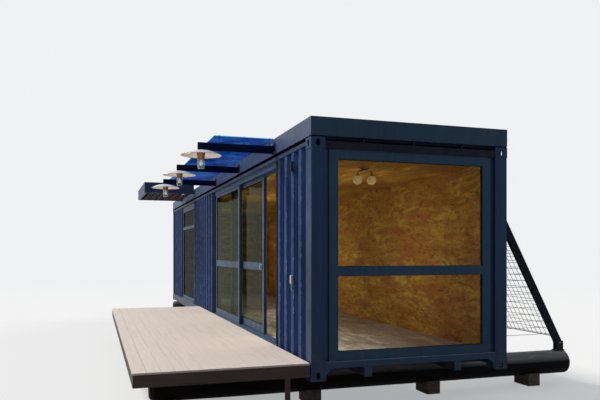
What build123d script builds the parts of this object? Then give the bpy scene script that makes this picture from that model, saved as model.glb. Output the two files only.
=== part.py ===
from build123d import *
import math
import os

# All lengths are millimetres. The model is drawn in the container's own coordinates:
# x across the width from the deck side, y along the length from the glazed end,
# z up from the underside of the corner castings. ORIGIN_SHIFT moves it at export.

# Container envelope, a forty foot unit of standard height
LENGTH = 12192
WIDTH = 2438
HEIGHT = 2591
GROUND = -420
SETBACK = 4
RAIL_UNDERSIDE = 12.5

# Corner castings and posts
CASTING_X = 162
CASTING_Y = 178
CASTING_Z = 118
CASTING_WALL = 26
SIDE_SLOT_LONG = 79
SIDE_SLOT_SHORT = 51
TOP_SLOT_LONG = 124
TOP_SLOT_SHORT = 63
SLOT_CUT = 39
POST_WALL = 6

# Rails of the steel frame
BOTTOM_RAIL_TOP = 172
BOTTOM_RAIL_WALL = 5
BOTTOM_RAIL_LIP = 46
BOTTOM_RAIL_FOOT = 30
TOP_RAIL_TUBE = 60
TOP_RAIL_WALL = 4
TOP_RAIL_TOP = 2580
HEADER_DEPTH = 60
HEADER_HEIGHT = 80
HEADER_WALL = 4
SILL_TOP = 197
SILL_DEPTH = 75
SILL_WALL = 6
SILL_WEB_LOW = 130
ARCH_EDGE = 8
ARCH_RADIUS = 112
ARCH_SMALL_RADIUS = 30

# Gooseneck tunnel under the glazed end
TUNNEL_WIDTH = 1028
TUNNEL_LENGTH = 3150
TUNNEL_ROOF_WALL = 5
TUNNEL_SIDE = 85
TUNNEL_LOW = 20

# Floor
FLOOR_TOP = 200
CROSS_HEIGHT = 122
CROSS_WIDTH = 45
CROSS_WALL = 5
CROSS_PITCH = 305
CROSS_FIRST = 330

# Corrugated sheets
SHEET_OUT = 10
SHEET_DEPTH = 36
SHEET_WALL = 2
FOLD_FLAT = 72
FOLD_SLOPE = 68
FOLD_INNER_FLAT = 70
FOLD_FIRST_FLAT = 365
ROOF_FOLD_DEPTH = 20
ROOF_FOLD_FLAT = 60
ROOF_FOLD_SLOPE = 30

# Lining boards with the insulation behind them
LINING = 42
CEILING_UNDERSIDE = 2420

# Planted roof with its fascia
FASCIA_LOW = 2605
FASCIA_HEIGHT = 200
FASCIA_WALL = 6
FASCIA_LIP = 57
BRACKET_LENGTH = 12
BRACKET_DEPTH = 50
BRACKET_FIRST = 630
BRACKET_PITCH = 800
TRAY_WALL = 5
TRAY_INSET = 62
TRAY_RIM_BELOW = 15
MEDIUM_BED = 16
MEDIUM_BELOW = 45

# Glazed end
WINDOW_FRAME_EDGE = 100
WINDOW_FRAME_GAP = 52
WINDOW_FRAME_SET = 25
WINDOW_FLANGE_SET = 50
TRANSOM_LOW = 1117
TRANSOM_HIGH = 1209
PANE = 24

# Sliding door in the long side
DOOR_START = 1435
DOOR_END = 5640
DOOR_HEAD = 2445
DOOR_SILL = 15
DOOR_FRAME_EDGE = 90
DOOR_FRAME_OUT = 30
DOOR_FRAME_IN = 140
LEAF_THICK = 40
FIXED_LEAF_OUT = 40
FIXED_LEAF_START = 3610
SLIDING_LEAF_OUT = 92
LEAF_STILE = 90
LEAF_TOP_RAIL = 45
LEAF_BOTTOM_RAIL = 95
LEAF_CLEAR = 6
SLIDE_END_CLEAR = 5
DOOR_OPEN = 822
PULL_FROM_EDGE = 100
PULL_LENGTH = 130
PULL_LOW = 1123
PULL_HEIGHT = 80
PULL_PLATE = 6
PULL_GRIP = 14
PULL_GRIP_EDGE = 22
TRACK_HEIGHT = 5
TRACK_WIDTH = 12
ROLLER_RADIUS = 14
ROLLER_GAP = 0.3
ROLLER_INSET = 220
ROLLER_SLOT_WIDE = 18
ROLLER_SLOT_CLEAR = 2
AXLE_RADIUS = 3.5
GUIDE_WIDTH = 6
GUIDE_DROP = 24

# Second glazed opening in the long side
REAR_WINDOW_START = 8400
REAR_WINDOW_END = 10200
REAR_WINDOW_LOW = 260
REAR_WINDOW_HEAD = 2400
REAR_TRANSOM_LOW = 1950
REAR_TRANSOM_HIGH = 2000
REAR_FRAME_EDGE = 60
REAR_FRAME_OUT = 40
REAR_FRAME_DEPTH = 50

# Canopy with three cantilever beams
BEAM_STARTS = (1427, 3479, 5467)
BEAM_REACH = 967
BEAM_LOW = 2615
BEAM_HEIGHT = 95
BEAM_WIDTH = 50
PANEL_REACH = 770
PANEL_START = 1400
PANEL_END = 6500
PANEL_UNDERSIDE = 2796
PANEL_THICK = 8
STANDOFF_RADIUS = 14
STANDOFF_PLACES = (60, 390, 700)

# Slatted canopy at the far end of the long side
SLAT_CANOPY_START = 8150
SLAT_CANOPY_END = 10300
SLAT_CANOPY_REACH = 1100
SLAT_CANOPY_LOW = 2703
SLAT_CANOPY_HEIGHT = 235
SLAT_CANOPY_EDGE = 50
SLAT_COUNT = 6
SLAT_WIDTH = 100
SLAT_THICK = 38

# Lamps under the beams
LAMP_REACH = 925
SHADE_RADIUS = 250
SHADE_CROWN_RADIUS = 60
SHADE_DROP = 62
SHADE_WALL = 2.5
SHADE_BELLY = 0.36
HOLDER_TOP_RADIUS = 54
HOLDER_BOTTOM_RADIUS = 42
HOLDER_SHOULDER = 2585
HOLDER_LOW = 2520
JAR_RADIUS = 43
JAR_LOW = 2385
JAR_WALL = 3
JAR_ROUND = 18

# Twin globe light on the ceiling
ROOM_LIGHT_X = 1040
ROOM_LIGHT_Y = 950
GLOBE_RADIUS = 53
GLOBE_SPACING = 200
GLOBE_CENTRE = 2262
ROSE_RADIUS = 60
ROSE_HEIGHT = 25
STEM_RADIUS = 11

# Deck
DECK_REACH = 1820
DECK_GAP = 10
DECK_START = 0
DECK_LENGTH = 7300
DECK_BOARD = 20
DECK_NOSING = 5
DECK_FASCIA = 38
DECK_UNDERSIDE = 55
JOIST_WIDTH = 45
JOISTS_PER_BAY = 5
PROP_SIZE = 50
PROP_REACH = 250

# Pole foundation
POLE_RADIUS = 160
POLE_FLAT = 8
POLE_FIRST = 900
POLE_PITCH = 2600
POLE_COUNT = 5
DECK_POLE_COUNT = 3
POLE_LEFT = -1590
SHORT_POLE_LEFT = -100
POLE_RIGHT = 4040
BLOCK_LENGTH = 180
BLOCK_WIDTH = 300
BLOCK_CRADLE = 40
BLOCK_PLACES = (-1350, 300, 1900, 3420)
SHORT_BLOCK_PLACES = (300, 1900, 3420)
PACKER_LENGTH = 120
PACKER_WIDTH = 90
PACKER_PLACES = (-1450, -900, -300)

# Screen that leans on the far long side
STRUT_WIDTH = 100
STRUT_THICK = 50
STRUT_INNER_FOOT = 3882
STRUT_FOOT_Z = 110
STRUT_BELOW_FASCIA = 5
STRUT_CONTACT = 38
FOOT_SIZE = 40
WIRE = 8
WIRE_PITCH = 285
WIRE_MARGIN = 190
END_WIRE_FIRST = 243
END_WIRE_PITCH = 277.5
END_WIRE_COUNT = 9
END_WIRE_OFFSET = 20

# Small fittings on the long side
FITTING_FOLD = 1
VENT_Z = 2355
VENT_WIDTH = 70
VENT_HEIGHT = 110
VENT_DEPTH = 28
SOCKET_Z = 1050
SOCKET_WIDTH = 66
SOCKET_HEIGHT = 105
SOCKET_DEPTH = 25

POLE_AXIS_Z = RAIL_UNDERSIDE + POLE_FLAT - POLE_RADIUS
POLES = [POLE_FIRST + POLE_PITCH * n for n in range(POLE_COUNT)]
FASCIA_TOP = FASCIA_LOW + FASCIA_HEIGHT
TOP_RAIL_LOW = TOP_RAIL_TOP - TOP_RAIL_TUBE
POST_LOW = CASTING_Z
POST_TOP = HEIGHT - CASTING_Z
HEADER_LOW = POST_TOP - 1
HEADER_TOP = HEADER_LOW + HEADER_HEIGHT
SHEET_IN = SHEET_OUT + SHEET_DEPTH + SHEET_WALL
LINING_IN = SHEET_IN + LINING
FLOOR_LOW = BOTTOM_RAIL_TOP - BOTTOM_RAIL_WALL
FLOOR_EDGE = SETBACK + BOTTOM_RAIL_LIP
END_LINING = LENGTH - CASTING_Y - LINING
DOOR_OUTER = (DOOR_START - DOOR_FRAME_EDGE, DOOR_END + DOOR_FRAME_EDGE)
REAR_OUTER = (REAR_WINDOW_START - REAR_FRAME_EDGE, REAR_WINDOW_END + REAR_FRAME_EDGE)
DOOR_FLOOR = FLOOR_TOP + DOOR_SILL
SLIDING_LEAF_START = DOOR_START + SLIDE_END_CLEAR + DOOR_OPEN
SLIDING_LEAF_END = FIXED_LEAF_START + LEAF_STILE + DOOR_OPEN
BEAM_TOP = BEAM_LOW + BEAM_HEIGHT
MID_X = (POLE_RIGHT - DECK_REACH) / 2
ORIGIN_SHIFT = (-MID_X, -LENGTH / 2, -GROUND)


def block(x, y, z):
    """A box between the low and high value of each pair."""
    size = Box(x[1] - x[0], y[1] - y[0], z[1] - z[0], align=(Align.MIN,) * 3)
    return Pos(x[0], y[0], z[0]) * size


def outline(points):
    return make_face(Polyline(*points, close=True))


def along_x(points, low, high):
    """A prism of (y, z) points from x = low to x = high."""
    return Pos(low, 0, 0) * extrude(Plane.YZ * outline(points), amount=high - low)


def along_y(points, low, high):
    """A prism of (x, z) points from y = low to y = high."""
    return Pos(0, high, 0) * extrude(Plane.XZ * outline(points), amount=high - low)


def along_z(points, low, high):
    """A prism of (x, y) points from z = low to z = high."""
    return Pos(0, 0, low) * extrude(outline(points), amount=high - low)


def across(solid):
    """The same solid on the other long side."""
    return mirror(solid, about=Plane.YZ.offset(WIDTH / 2))


def rearward(solid):
    """The same solid at the other end."""
    return mirror(solid, about=Plane.XZ.offset(-LENGTH / 2))


def fold_line(low, high, first_flat, depth, flat, slope, inner_flat):
    """(along, inward) points from low to high of a folded sheet with an outer flat at first_flat."""
    pitch = flat + 2 * slope + inner_flat
    place = first_flat - pitch * math.ceil((first_flat - low) / pitch)
    corners = []
    while place - pitch < high:
        corners += [(place, 0), (place + flat, 0)]
        corners += [(place + flat + slope, depth), (place + pitch - slope, depth)]
        place += pitch
    points = []
    for (y0, d0), (y1, d1) in zip(corners, corners[1:]):
        for cut in (low, high):
            if y0 < cut < y1:
                points.append((cut, d0 + (d1 - d0) * (cut - y0) / (y1 - y0)))
        if low <= y1 <= high:
            points.append((y1, d1))
    return points


def side_sheet(low, high):
    """A corrugated wall sheet on the deck side, cut from one row of folds."""
    folds = (SHEET_DEPTH, FOLD_FLAT, FOLD_SLOPE, FOLD_INNER_FLAT)
    line = fold_line(low, high, FOLD_FIRST_FLAT, *folds)
    outer = [(SHEET_OUT + inward, y) for y, inward in line]
    inner = [(x + SHEET_WALL, y) for x, y in reversed(outer)]
    return along_z(outer + inner, BOTTOM_RAIL_TOP, TOP_RAIL_LOW)


def make_castings():
    """Eight hollow corner castings, each with slots in its outer faces."""
    corner = Box(CASTING_X, CASTING_Y, CASTING_Z)
    hollow = [size - 2 * CASTING_WALL for size in (CASTING_X, CASTING_Y, CASTING_Z)]
    corner -= Box(*hollow)
    side_slot = Plane.YZ * SlotOverall(SIDE_SLOT_LONG, SIDE_SLOT_SHORT, rotation=90)
    end_slot = Plane.XZ * SlotOverall(SIDE_SLOT_LONG, SIDE_SLOT_SHORT, rotation=90)
    level_slot = SlotOverall(TOP_SLOT_LONG, TOP_SLOT_SHORT, rotation=90)
    corner -= Pos(-CASTING_X / 2, 0, 0) * extrude(side_slot, SLOT_CUT, both=True)
    corner -= Pos(0, -CASTING_Y / 2, 0) * extrude(end_slot, SLOT_CUT, both=True)
    corner -= Pos(0, 0, -CASTING_Z / 2) * extrude(level_slot, SLOT_CUT, both=True)
    low = Pos(CASTING_X / 2, CASTING_Y / 2, CASTING_Z / 2) * corner
    pair = [low, mirror(low, about=Plane.XY.offset(HEIGHT / 2))]
    near = pair + [across(each) for each in pair]
    return near + [rearward(each) for each in near]


def make_posts():
    post = block((SETBACK, CASTING_X), (SETBACK, CASTING_Y), (POST_LOW, POST_TOP))
    post -= block(
        (SETBACK + POST_WALL, CASTING_X - POST_WALL),
        (SETBACK + POST_WALL, CASTING_Y - POST_WALL),
        (POST_LOW, POST_TOP),
    )
    near = [post, across(post)]
    return near + [rearward(each) for each in near]


def make_side_rails():
    """A folded bottom rail and a square top rail along each long side."""
    web = (SETBACK, SETBACK + BOTTOM_RAIL_WALL)
    low, high = RAIL_UNDERSIDE, BOTTOM_RAIL_TOP
    section = [
        (web[0], low),
        (web[0] + BOTTOM_RAIL_FOOT, low),
        (web[0] + BOTTOM_RAIL_FOOT, low + BOTTOM_RAIL_WALL),
        (web[1], low + BOTTOM_RAIL_WALL),
        (web[1], high - BOTTOM_RAIL_WALL),
        (FLOOR_EDGE, high - BOTTOM_RAIL_WALL),
        (FLOOR_EDGE, high),
        (web[0], high),
    ]
    span = (CASTING_Y, LENGTH - CASTING_Y)
    bottom = along_y(section, *span)
    tube = block((SETBACK, SETBACK + TOP_RAIL_TUBE), span, (TOP_RAIL_LOW, TOP_RAIL_TOP))
    tube -= block(
        (SETBACK + TOP_RAIL_WALL, SETBACK + TOP_RAIL_TUBE - TOP_RAIL_WALL),
        span,
        (TOP_RAIL_LOW + TOP_RAIL_WALL, TOP_RAIL_TOP - TOP_RAIL_WALL),
    )
    return [bottom, tube, across(bottom), across(tube)]


def make_end_headers():
    span = (CASTING_X, WIDTH - CASTING_X)
    header = block(span, (SETBACK, SETBACK + HEADER_DEPTH), (HEADER_LOW, HEADER_TOP))
    header -= block(
        span,
        (SETBACK + HEADER_WALL, SETBACK + HEADER_DEPTH - HEADER_WALL),
        (HEADER_LOW + HEADER_WALL, HEADER_TOP - HEADER_WALL),
    )
    return [header, rearward(header)]


def tunnel_edges():
    """Inner and outer x of the tunnel's side beams, on the deck side."""
    inner = (WIDTH - TUNNEL_WIDTH) / 2
    return inner - TUNNEL_SIDE, inner


def make_front_sill():
    """The end rail with an arch each side of the tunnel and a ledge behind its top."""
    low = RAIL_UNDERSIDE
    beam_out, beam_in = tunnel_edges()
    face = block((CASTING_X, WIDTH - CASTING_X), (0, SILL_WALL), (low, SILL_TOP))
    corner_x = CASTING_X + ARCH_EDGE
    drop = low - 2 * ARCH_RADIUS
    arch_line = FilletPolyline(
        (corner_x, drop),
        (corner_x, SILL_WEB_LOW),
        (beam_out, SILL_WEB_LOW),
        (beam_out, drop),
        radius=[ARCH_RADIUS, ARCH_SMALL_RADIUS],
    )
    arch_face = make_face(arch_line + Line((beam_out, drop), (corner_x, drop)))
    arch = extrude(Plane.XZ * arch_face, SILL_WALL * 2, both=True)
    face -= arch
    face -= across(arch)
    face -= block((beam_in, WIDTH - beam_in), (0, SILL_WALL), (0, SILL_WEB_LOW))
    face -= block((beam_out, WIDTH - beam_out), (0, SILL_WALL), (0, TUNNEL_LOW))
    face = Pos(0, SETBACK, 0) * face
    depth = (SETBACK + SILL_WALL, SILL_DEPTH)
    ledge = block((CASTING_X, WIDTH - CASTING_X), depth, (SILL_TOP - SILL_WALL, SILL_TOP))
    web = block(
        (corner_x + ARCH_RADIUS, beam_out - ARCH_SMALL_RADIUS),
        depth,
        (SILL_WEB_LOW, SILL_WEB_LOW + SILL_WALL),
    )
    return face + ledge + web + across(web)


def make_rear_sill():
    span = (CASTING_X, WIDTH - CASTING_X)
    return block(span, (LENGTH - SILL_DEPTH, LENGTH - SETBACK), (RAIL_UNDERSIDE, BOTTOM_RAIL_TOP))


def make_tunnel():
    """The plates that line the gooseneck tunnel, with its two side beams."""
    beam_out, beam_in = tunnel_edges()
    start = SETBACK + SILL_WALL
    roof = block(
        (beam_in, WIDTH - beam_in),
        (start, TUNNEL_LENGTH),
        (SILL_WEB_LOW, SILL_WEB_LOW + TUNNEL_ROOF_WALL),
    )
    beam = block((beam_out, beam_in), (start, TUNNEL_LENGTH), (TUNNEL_LOW, SILL_WEB_LOW))
    beam += block(
        (beam_in - TUNNEL_ROOF_WALL, beam_in),
        (start, TUNNEL_LENGTH),
        (SILL_WEB_LOW, SILL_WEB_LOW + TUNNEL_ROOF_WALL),
    )
    return roof + beam + across(beam)


def make_cross_members():
    """Folded channels under the floor, cut away over the tunnel."""
    low, high = FLOOR_LOW - CROSS_HEIGHT, FLOOR_LOW
    reach = (SETBACK + BOTTOM_RAIL_WALL, WIDTH - SETBACK - BOTTOM_RAIL_WALL)
    section = [
        (0, low),
        (CROSS_WIDTH, low),
        (CROSS_WIDTH, low + CROSS_WALL),
        (CROSS_WALL, low + CROSS_WALL),
        (CROSS_WALL, high - CROSS_WALL),
        (CROSS_WIDTH, high - CROSS_WALL),
        (CROSS_WIDTH, high),
        (0, high),
    ]
    member = along_x(section, *reach)
    beam_out, _ = tunnel_edges()
    tunnel_cut = block(
        (beam_out, WIDTH - beam_out),
        (-CROSS_WIDTH, 2 * CROSS_WIDTH),
        (0, SILL_WEB_LOW + TUNNEL_ROOF_WALL),
    )
    shallow = member - tunnel_cut
    count = int((LENGTH - 2 * CROSS_FIRST) // CROSS_PITCH) + 1
    members = []
    for n in range(count):
        y = CROSS_FIRST + n * CROSS_PITCH
        in_tunnel = y < TUNNEL_LENGTH
        members.append(Pos(0, y, 0) * (shallow if in_tunnel else member))
    return members


def make_floor():
    """The floor between the posts, with a sill strip under each side opening."""
    boards = block(
        (FLOOR_EDGE, WIDTH - FLOOR_EDGE),
        (CASTING_Y, LENGTH - CASTING_Y),
        (FLOOR_LOW, FLOOR_TOP),
    )
    boards += block(
        (CASTING_X, WIDTH - CASTING_X),
        (SILL_DEPTH, LENGTH - SILL_DEPTH),
        (FLOOR_LOW, FLOOR_TOP),
    )
    for opening in (DOOR_OUTER, REAR_OUTER):
        boards += block((SHEET_OUT, FLOOR_EDGE), opening, (BOTTOM_RAIL_TOP, FLOOR_TOP))
    return boards


def make_back_wall():
    """The corrugated end sheet on its sill, below the rear header."""
    span = (CASTING_X, WIDTH - CASTING_X)
    first_flat = (WIDTH - FOLD_FLAT) / 2
    line = fold_line(*span, first_flat, SHEET_DEPTH, FOLD_FLAT, FOLD_SLOPE, FOLD_INNER_FLAT)
    outer = [(x, LENGTH - SHEET_OUT - inward) for x, inward in line]
    inner = [(x, y - SHEET_WALL) for x, y in reversed(outer)]
    return along_z(outer + inner, BOTTOM_RAIL_TOP, HEADER_LOW)


def make_roof_sheet():
    """The roof sheet, folded across the width, on the end headers behind the brackets."""
    start = FASCIA_WALL + BRACKET_DEPTH
    folds = (ROOF_FOLD_DEPTH, ROOF_FOLD_FLAT, ROOF_FOLD_SLOPE, ROOF_FOLD_FLAT)
    line = fold_line(start, LENGTH - start, start, *folds)
    under = [(y, HEADER_TOP + rise) for y, rise in line]
    over = [(y, z + SHEET_WALL) for y, z in reversed(under)]
    inset = SETBACK + TOP_RAIL_TUBE
    sheet = along_x(under + over, inset, WIDTH - inset)
    for end in ((0, CASTING_Y), (LENGTH - CASTING_Y, LENGTH)):
        for side in ((0, CASTING_X), (WIDTH - CASTING_X, WIDTH)):
            sheet -= block(side, end, (POST_TOP, HEIGHT))
    return sheet


def make_ceiling():
    boards = block(
        (SHEET_IN, WIDTH - SHEET_IN),
        (CASTING_Y, END_LINING),
        (CEILING_UNDERSIDE, CEILING_UNDERSIDE + LINING),
    )
    boards += block(
        (CASTING_X, WIDTH - CASTING_X),
        (SILL_DEPTH, CASTING_Y),
        (CEILING_UNDERSIDE, CEILING_UNDERSIDE + LINING),
    )
    above = (CEILING_UNDERSIDE, CEILING_UNDERSIDE + LINING)
    boards -= block((0, DOOR_FRAME_IN), DOOR_OUTER, above)
    boards -= block((0, REAR_FRAME_OUT + REAR_FRAME_DEPTH), REAR_OUTER, above)
    return boards


def make_left_lining():
    height = (FLOOR_TOP, CEILING_UNDERSIDE)
    depth = (SHEET_IN, LINING_IN)
    spans = ((CASTING_Y, DOOR_OUTER[0]), (DOOR_OUTER[1], REAR_OUTER[0]), (REAR_OUTER[1], END_LINING))
    return [block(depth, span, height) for span in spans]


def make_right_lining():
    height = (FLOOR_TOP, CEILING_UNDERSIDE)
    return across(block((SHEET_IN, LINING_IN), (CASTING_Y, END_LINING), height))


def make_back_lining():
    return block(
        (SHEET_IN, WIDTH - SHEET_IN),
        (END_LINING, LENGTH - CASTING_Y),
        (FLOOR_TOP, CEILING_UNDERSIDE + LINING),
    )


def make_fascia(length):
    """A mitred channel that faces inward, along x from the origin."""
    parts = []
    bands = (
        (FASCIA_WALL, FASCIA_LOW, FASCIA_TOP),
        (FASCIA_LIP, FASCIA_LOW, FASCIA_LOW + FASCIA_WALL),
        (FASCIA_LIP, FASCIA_TOP - FASCIA_WALL, FASCIA_TOP),
    )
    for depth, low, high in bands:
        plan = [(0, 0), (length, 0), (length - depth, depth), (depth, depth)]
        parts.append(along_z(plan, low, high))
    return parts[0] + parts[1] + parts[2]


def make_end_fascias():
    front = make_fascia(WIDTH)
    return [front, rearward(front)]


def make_side_fascias():
    right = Pos(WIDTH, 0, 0) * Rot(0, 0, 90) * make_fascia(LENGTH)
    return [right, across(right)]


def make_fascia_brackets():
    """Short flats that stand on the rails and carry the fascia."""
    brackets = []
    depth = (FASCIA_WALL, FASCIA_WALL + BRACKET_DEPTH)
    count = int((LENGTH - CASTING_Y - BRACKET_FIRST) // BRACKET_PITCH) + 1
    for n in range(count):
        y = BRACKET_FIRST + n * BRACKET_PITCH
        span = (y - BRACKET_LENGTH / 2, y + BRACKET_LENGTH / 2)
        bracket = block(depth, span, (TOP_RAIL_TOP, FASCIA_LOW))
        brackets += [bracket, across(bracket)]
    for x in (WIDTH / 4, WIDTH / 2, WIDTH * 3 / 4):
        span = (x - BRACKET_LENGTH / 2, x + BRACKET_LENGTH / 2)
        bracket = block(span, depth, (HEADER_TOP, FASCIA_LOW))
        brackets += [bracket, rearward(bracket)]
    return brackets


def make_tray():
    """An open tray on the top rails that holds the growing medium."""
    span_x = (TRAY_INSET, WIDTH - TRAY_INSET)
    span_y = (TRAY_INSET, LENGTH - TRAY_INSET)
    rim = FASCIA_TOP - TRAY_RIM_BELOW
    tray = block(span_x, span_y, (TOP_RAIL_TOP, rim))
    tray -= block(
        (span_x[0] + TRAY_WALL, span_x[1] - TRAY_WALL),
        (span_y[0] + TRAY_WALL, span_y[1] - TRAY_WALL),
        (TOP_RAIL_TOP + TRAY_WALL, rim),
    )
    for end in ((0, CASTING_Y), (LENGTH - CASTING_Y, LENGTH)):
        for side in ((0, CASTING_X), (WIDTH - CASTING_X, WIDTH)):
            tray -= block(side, end, (TOP_RAIL_TOP, HEIGHT))
    return tray


def make_medium():
    edge = TRAY_INSET + TRAY_WALL
    return block(
        (edge, WIDTH - edge),
        (edge, LENGTH - edge),
        (TOP_RAIL_TOP + MEDIUM_BED, FASCIA_TOP - MEDIUM_BELOW),
    )


def window_edges():
    outer = CASTING_X + WINDOW_FRAME_GAP
    return outer, outer + WINDOW_FRAME_EDGE


def make_front_frame():
    """The glazed end's frame with its transom and a set-back flange each side."""
    outer, inner = window_edges()
    depth = (WINDOW_FRAME_SET, SILL_DEPTH)
    low, high = SILL_TOP, HEADER_LOW
    frame = block((outer, WIDTH - outer), depth, (low, high))
    frame -= block(
        (inner, WIDTH - inner), depth, (low + WINDOW_FRAME_EDGE, high - WINDOW_FRAME_EDGE)
    )
    frame += block((inner, WIDTH - inner), depth, (TRANSOM_LOW, TRANSOM_HIGH))
    flange = block((CASTING_X, outer), (WINDOW_FLANGE_SET, SILL_DEPTH), (low, high))
    return frame + flange + across(flange)


def make_front_glass():
    _, inner = window_edges()
    middle = (WINDOW_FRAME_SET + SILL_DEPTH) / 2
    depth = (middle - PANE / 2, middle + PANE / 2)
    span = (inner, WIDTH - inner)
    lower = block(span, depth, (SILL_TOP + WINDOW_FRAME_EDGE, TRANSOM_LOW))
    upper = block(span, depth, (TRANSOM_HIGH, HEADER_LOW - WINDOW_FRAME_EDGE))
    return [lower, upper]


def make_door_frame():
    """Jambs, head and sill of the sliding door, with a track below and a guide above."""
    depth = (DOOR_FRAME_OUT, DOOR_FRAME_IN)
    opening = (DOOR_START, DOOR_END)
    frame = block(depth, DOOR_OUTER, (FLOOR_TOP, TOP_RAIL_LOW))
    frame -= block(depth, opening, (DOOR_FLOOR, DOOR_HEAD))
    track_x = SLIDING_LEAF_OUT + LEAF_THICK / 2
    frame += block(
        (track_x - TRACK_WIDTH / 2, track_x + TRACK_WIDTH / 2),
        opening,
        (DOOR_FLOOR, DOOR_FLOOR + TRACK_HEIGHT),
    )
    frame += block(
        (track_x - GUIDE_WIDTH / 2, track_x + GUIDE_WIDTH / 2),
        opening,
        (DOOR_HEAD - GUIDE_DROP, DOOR_HEAD),
    )
    return frame


def leaf_panes(start, end, low, high):
    """The (y, z) ranges of a leaf's two panes, below and above its middle rail."""
    span = (start + LEAF_STILE, end - LEAF_STILE)
    lower = (low + LEAF_BOTTOM_RAIL, TRANSOM_LOW)
    upper = (TRANSOM_HIGH, high - LEAF_TOP_RAIL)
    return [(span, lower), (span, upper)]


def make_leaf(x, start, end, low, high):
    """A leaf's frame with its outer face at x, from y = start to y = end."""
    depth = (x, x + LEAF_THICK)
    leaf = block(depth, (start, end), (low, high))
    for span, height in leaf_panes(start, end, low, high):
        leaf -= block(depth, span, height)
    return leaf


def make_leaf_glass(x, start, end, low, high):
    middle = x + LEAF_THICK / 2
    depth = (middle - PANE / 2, middle + PANE / 2)
    return [block(depth, span, height) for span, height in leaf_panes(start, end, low, high)]


FIXED_LEAF = (FIXED_LEAF_OUT, FIXED_LEAF_START, DOOR_END, DOOR_FLOOR, DOOR_HEAD)
SLIDING_LEAF = (
    SLIDING_LEAF_OUT,
    SLIDING_LEAF_START,
    SLIDING_LEAF_END,
    DOOR_FLOOR + TRACK_HEIGHT + LEAF_CLEAR,
    DOOR_HEAD - LEAF_CLEAR,
)


def make_sliding_leaf():
    """The sliding leaf, grooved above for the guide and slotted below for two rollers."""
    x, start, end, low, high = SLIDING_LEAF
    middle = x + LEAF_THICK / 2
    leaf = make_leaf(*SLIDING_LEAF)
    half_groove = GUIDE_WIDTH / 2 + LEAF_CLEAR
    leaf -= block(
        (middle - half_groove, middle + half_groove),
        (start, end),
        (DOOR_HEAD - GUIDE_DROP - LEAF_CLEAR, high),
    )
    half_slot = ROLLER_SLOT_WIDE / 2
    half_length = ROLLER_RADIUS + ROLLER_SLOT_CLEAR
    for y in roller_places():
        leaf -= block(
            (middle - half_slot, middle + half_slot),
            (y - half_length, y + half_length),
            (low, roller_axis() + half_length),
        )
    return leaf


def make_door_pull():
    """A plate with a raised grip on the middle rail, beside the sliding leaf's front stile."""
    start = SLIDING_LEAF_START + PULL_FROM_EDGE
    span = (start, start + PULL_LENGTH)
    height = (PULL_LOW, PULL_LOW + PULL_HEIGHT)
    face = SLIDING_LEAF_OUT - PULL_PLATE
    pull = block((face, SLIDING_LEAF_OUT), span, height)
    pull += block(
        (face - PULL_GRIP, face),
        (span[0] + PULL_GRIP_EDGE, span[1] - PULL_GRIP_EDGE),
        (height[0] + PULL_GRIP_EDGE, height[1] - PULL_GRIP_EDGE),
    )
    return pull


def roller_places():
    return SLIDING_LEAF_START + ROLLER_INSET, SLIDING_LEAF_END - ROLLER_INSET


def roller_axis():
    return DOOR_FLOOR + TRACK_HEIGHT + ROLLER_GAP + ROLLER_RADIUS


def make_rollers():
    """Two rollers on the track, with axles that end in the leaf."""
    middle = SLIDING_LEAF_OUT + LEAF_THICK / 2
    wheel = Rot(0, 90, 0) * Cylinder(ROLLER_RADIUS, TRACK_WIDTH)
    axle = Rot(0, 90, 0) * Cylinder(AXLE_RADIUS, ROLLER_SLOT_WIDE)
    return [Pos(middle, y, roller_axis()) * (wheel + axle) for y in roller_places()]


def make_rear_frame():
    depth = (REAR_FRAME_OUT, REAR_FRAME_OUT + REAR_FRAME_DEPTH)
    opening = (REAR_WINDOW_START, REAR_WINDOW_END)
    frame = block(depth, REAR_OUTER, (FLOOR_TOP, TOP_RAIL_LOW))
    frame -= block(depth, opening, (REAR_WINDOW_LOW, REAR_WINDOW_HEAD))
    frame += block(depth, opening, (REAR_TRANSOM_LOW, REAR_TRANSOM_HIGH))
    return frame


def make_rear_glass():
    middle = REAR_FRAME_OUT + REAR_FRAME_DEPTH / 2
    depth = (middle - PANE / 2, middle + PANE / 2)
    span = (REAR_WINDOW_START, REAR_WINDOW_END)
    lower = block(depth, span, (REAR_WINDOW_LOW, REAR_TRANSOM_LOW))
    upper = block(depth, span, (REAR_TRANSOM_HIGH, REAR_WINDOW_HEAD))
    return [lower, upper]


def make_beams():
    """Three cantilever beams, each with stand-offs for the panel."""
    beams = []
    for y in BEAM_STARTS:
        span = (y - BEAM_WIDTH / 2, y + BEAM_WIDTH / 2)
        beam = block((-BEAM_REACH, 0), span, (BEAM_LOW, BEAM_TOP))
        for reach in STANDOFF_PLACES:
            height = PANEL_UNDERSIDE - BEAM_TOP
            rod = Cylinder(STANDOFF_RADIUS, height, align=(Align.CENTER, Align.CENTER, Align.MIN))
            beam += Pos(-reach, y, BEAM_TOP) * rod
        beams.append(beam)
    return beams


def make_canopy_panel():
    top = PANEL_UNDERSIDE + PANEL_THICK
    return block((-PANEL_REACH, 0), (PANEL_START, PANEL_END), (PANEL_UNDERSIDE, top))


def make_slat_frame():
    high = SLAT_CANOPY_LOW + SLAT_CANOPY_HEIGHT
    height = (SLAT_CANOPY_LOW, high)
    frame = block((-SLAT_CANOPY_REACH, 0), (SLAT_CANOPY_START, SLAT_CANOPY_END), height)
    frame -= block(
        (SLAT_CANOPY_EDGE - SLAT_CANOPY_REACH, 0),
        (SLAT_CANOPY_START + SLAT_CANOPY_EDGE, SLAT_CANOPY_END - SLAT_CANOPY_EDGE),
        height,
    )
    return frame


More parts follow.
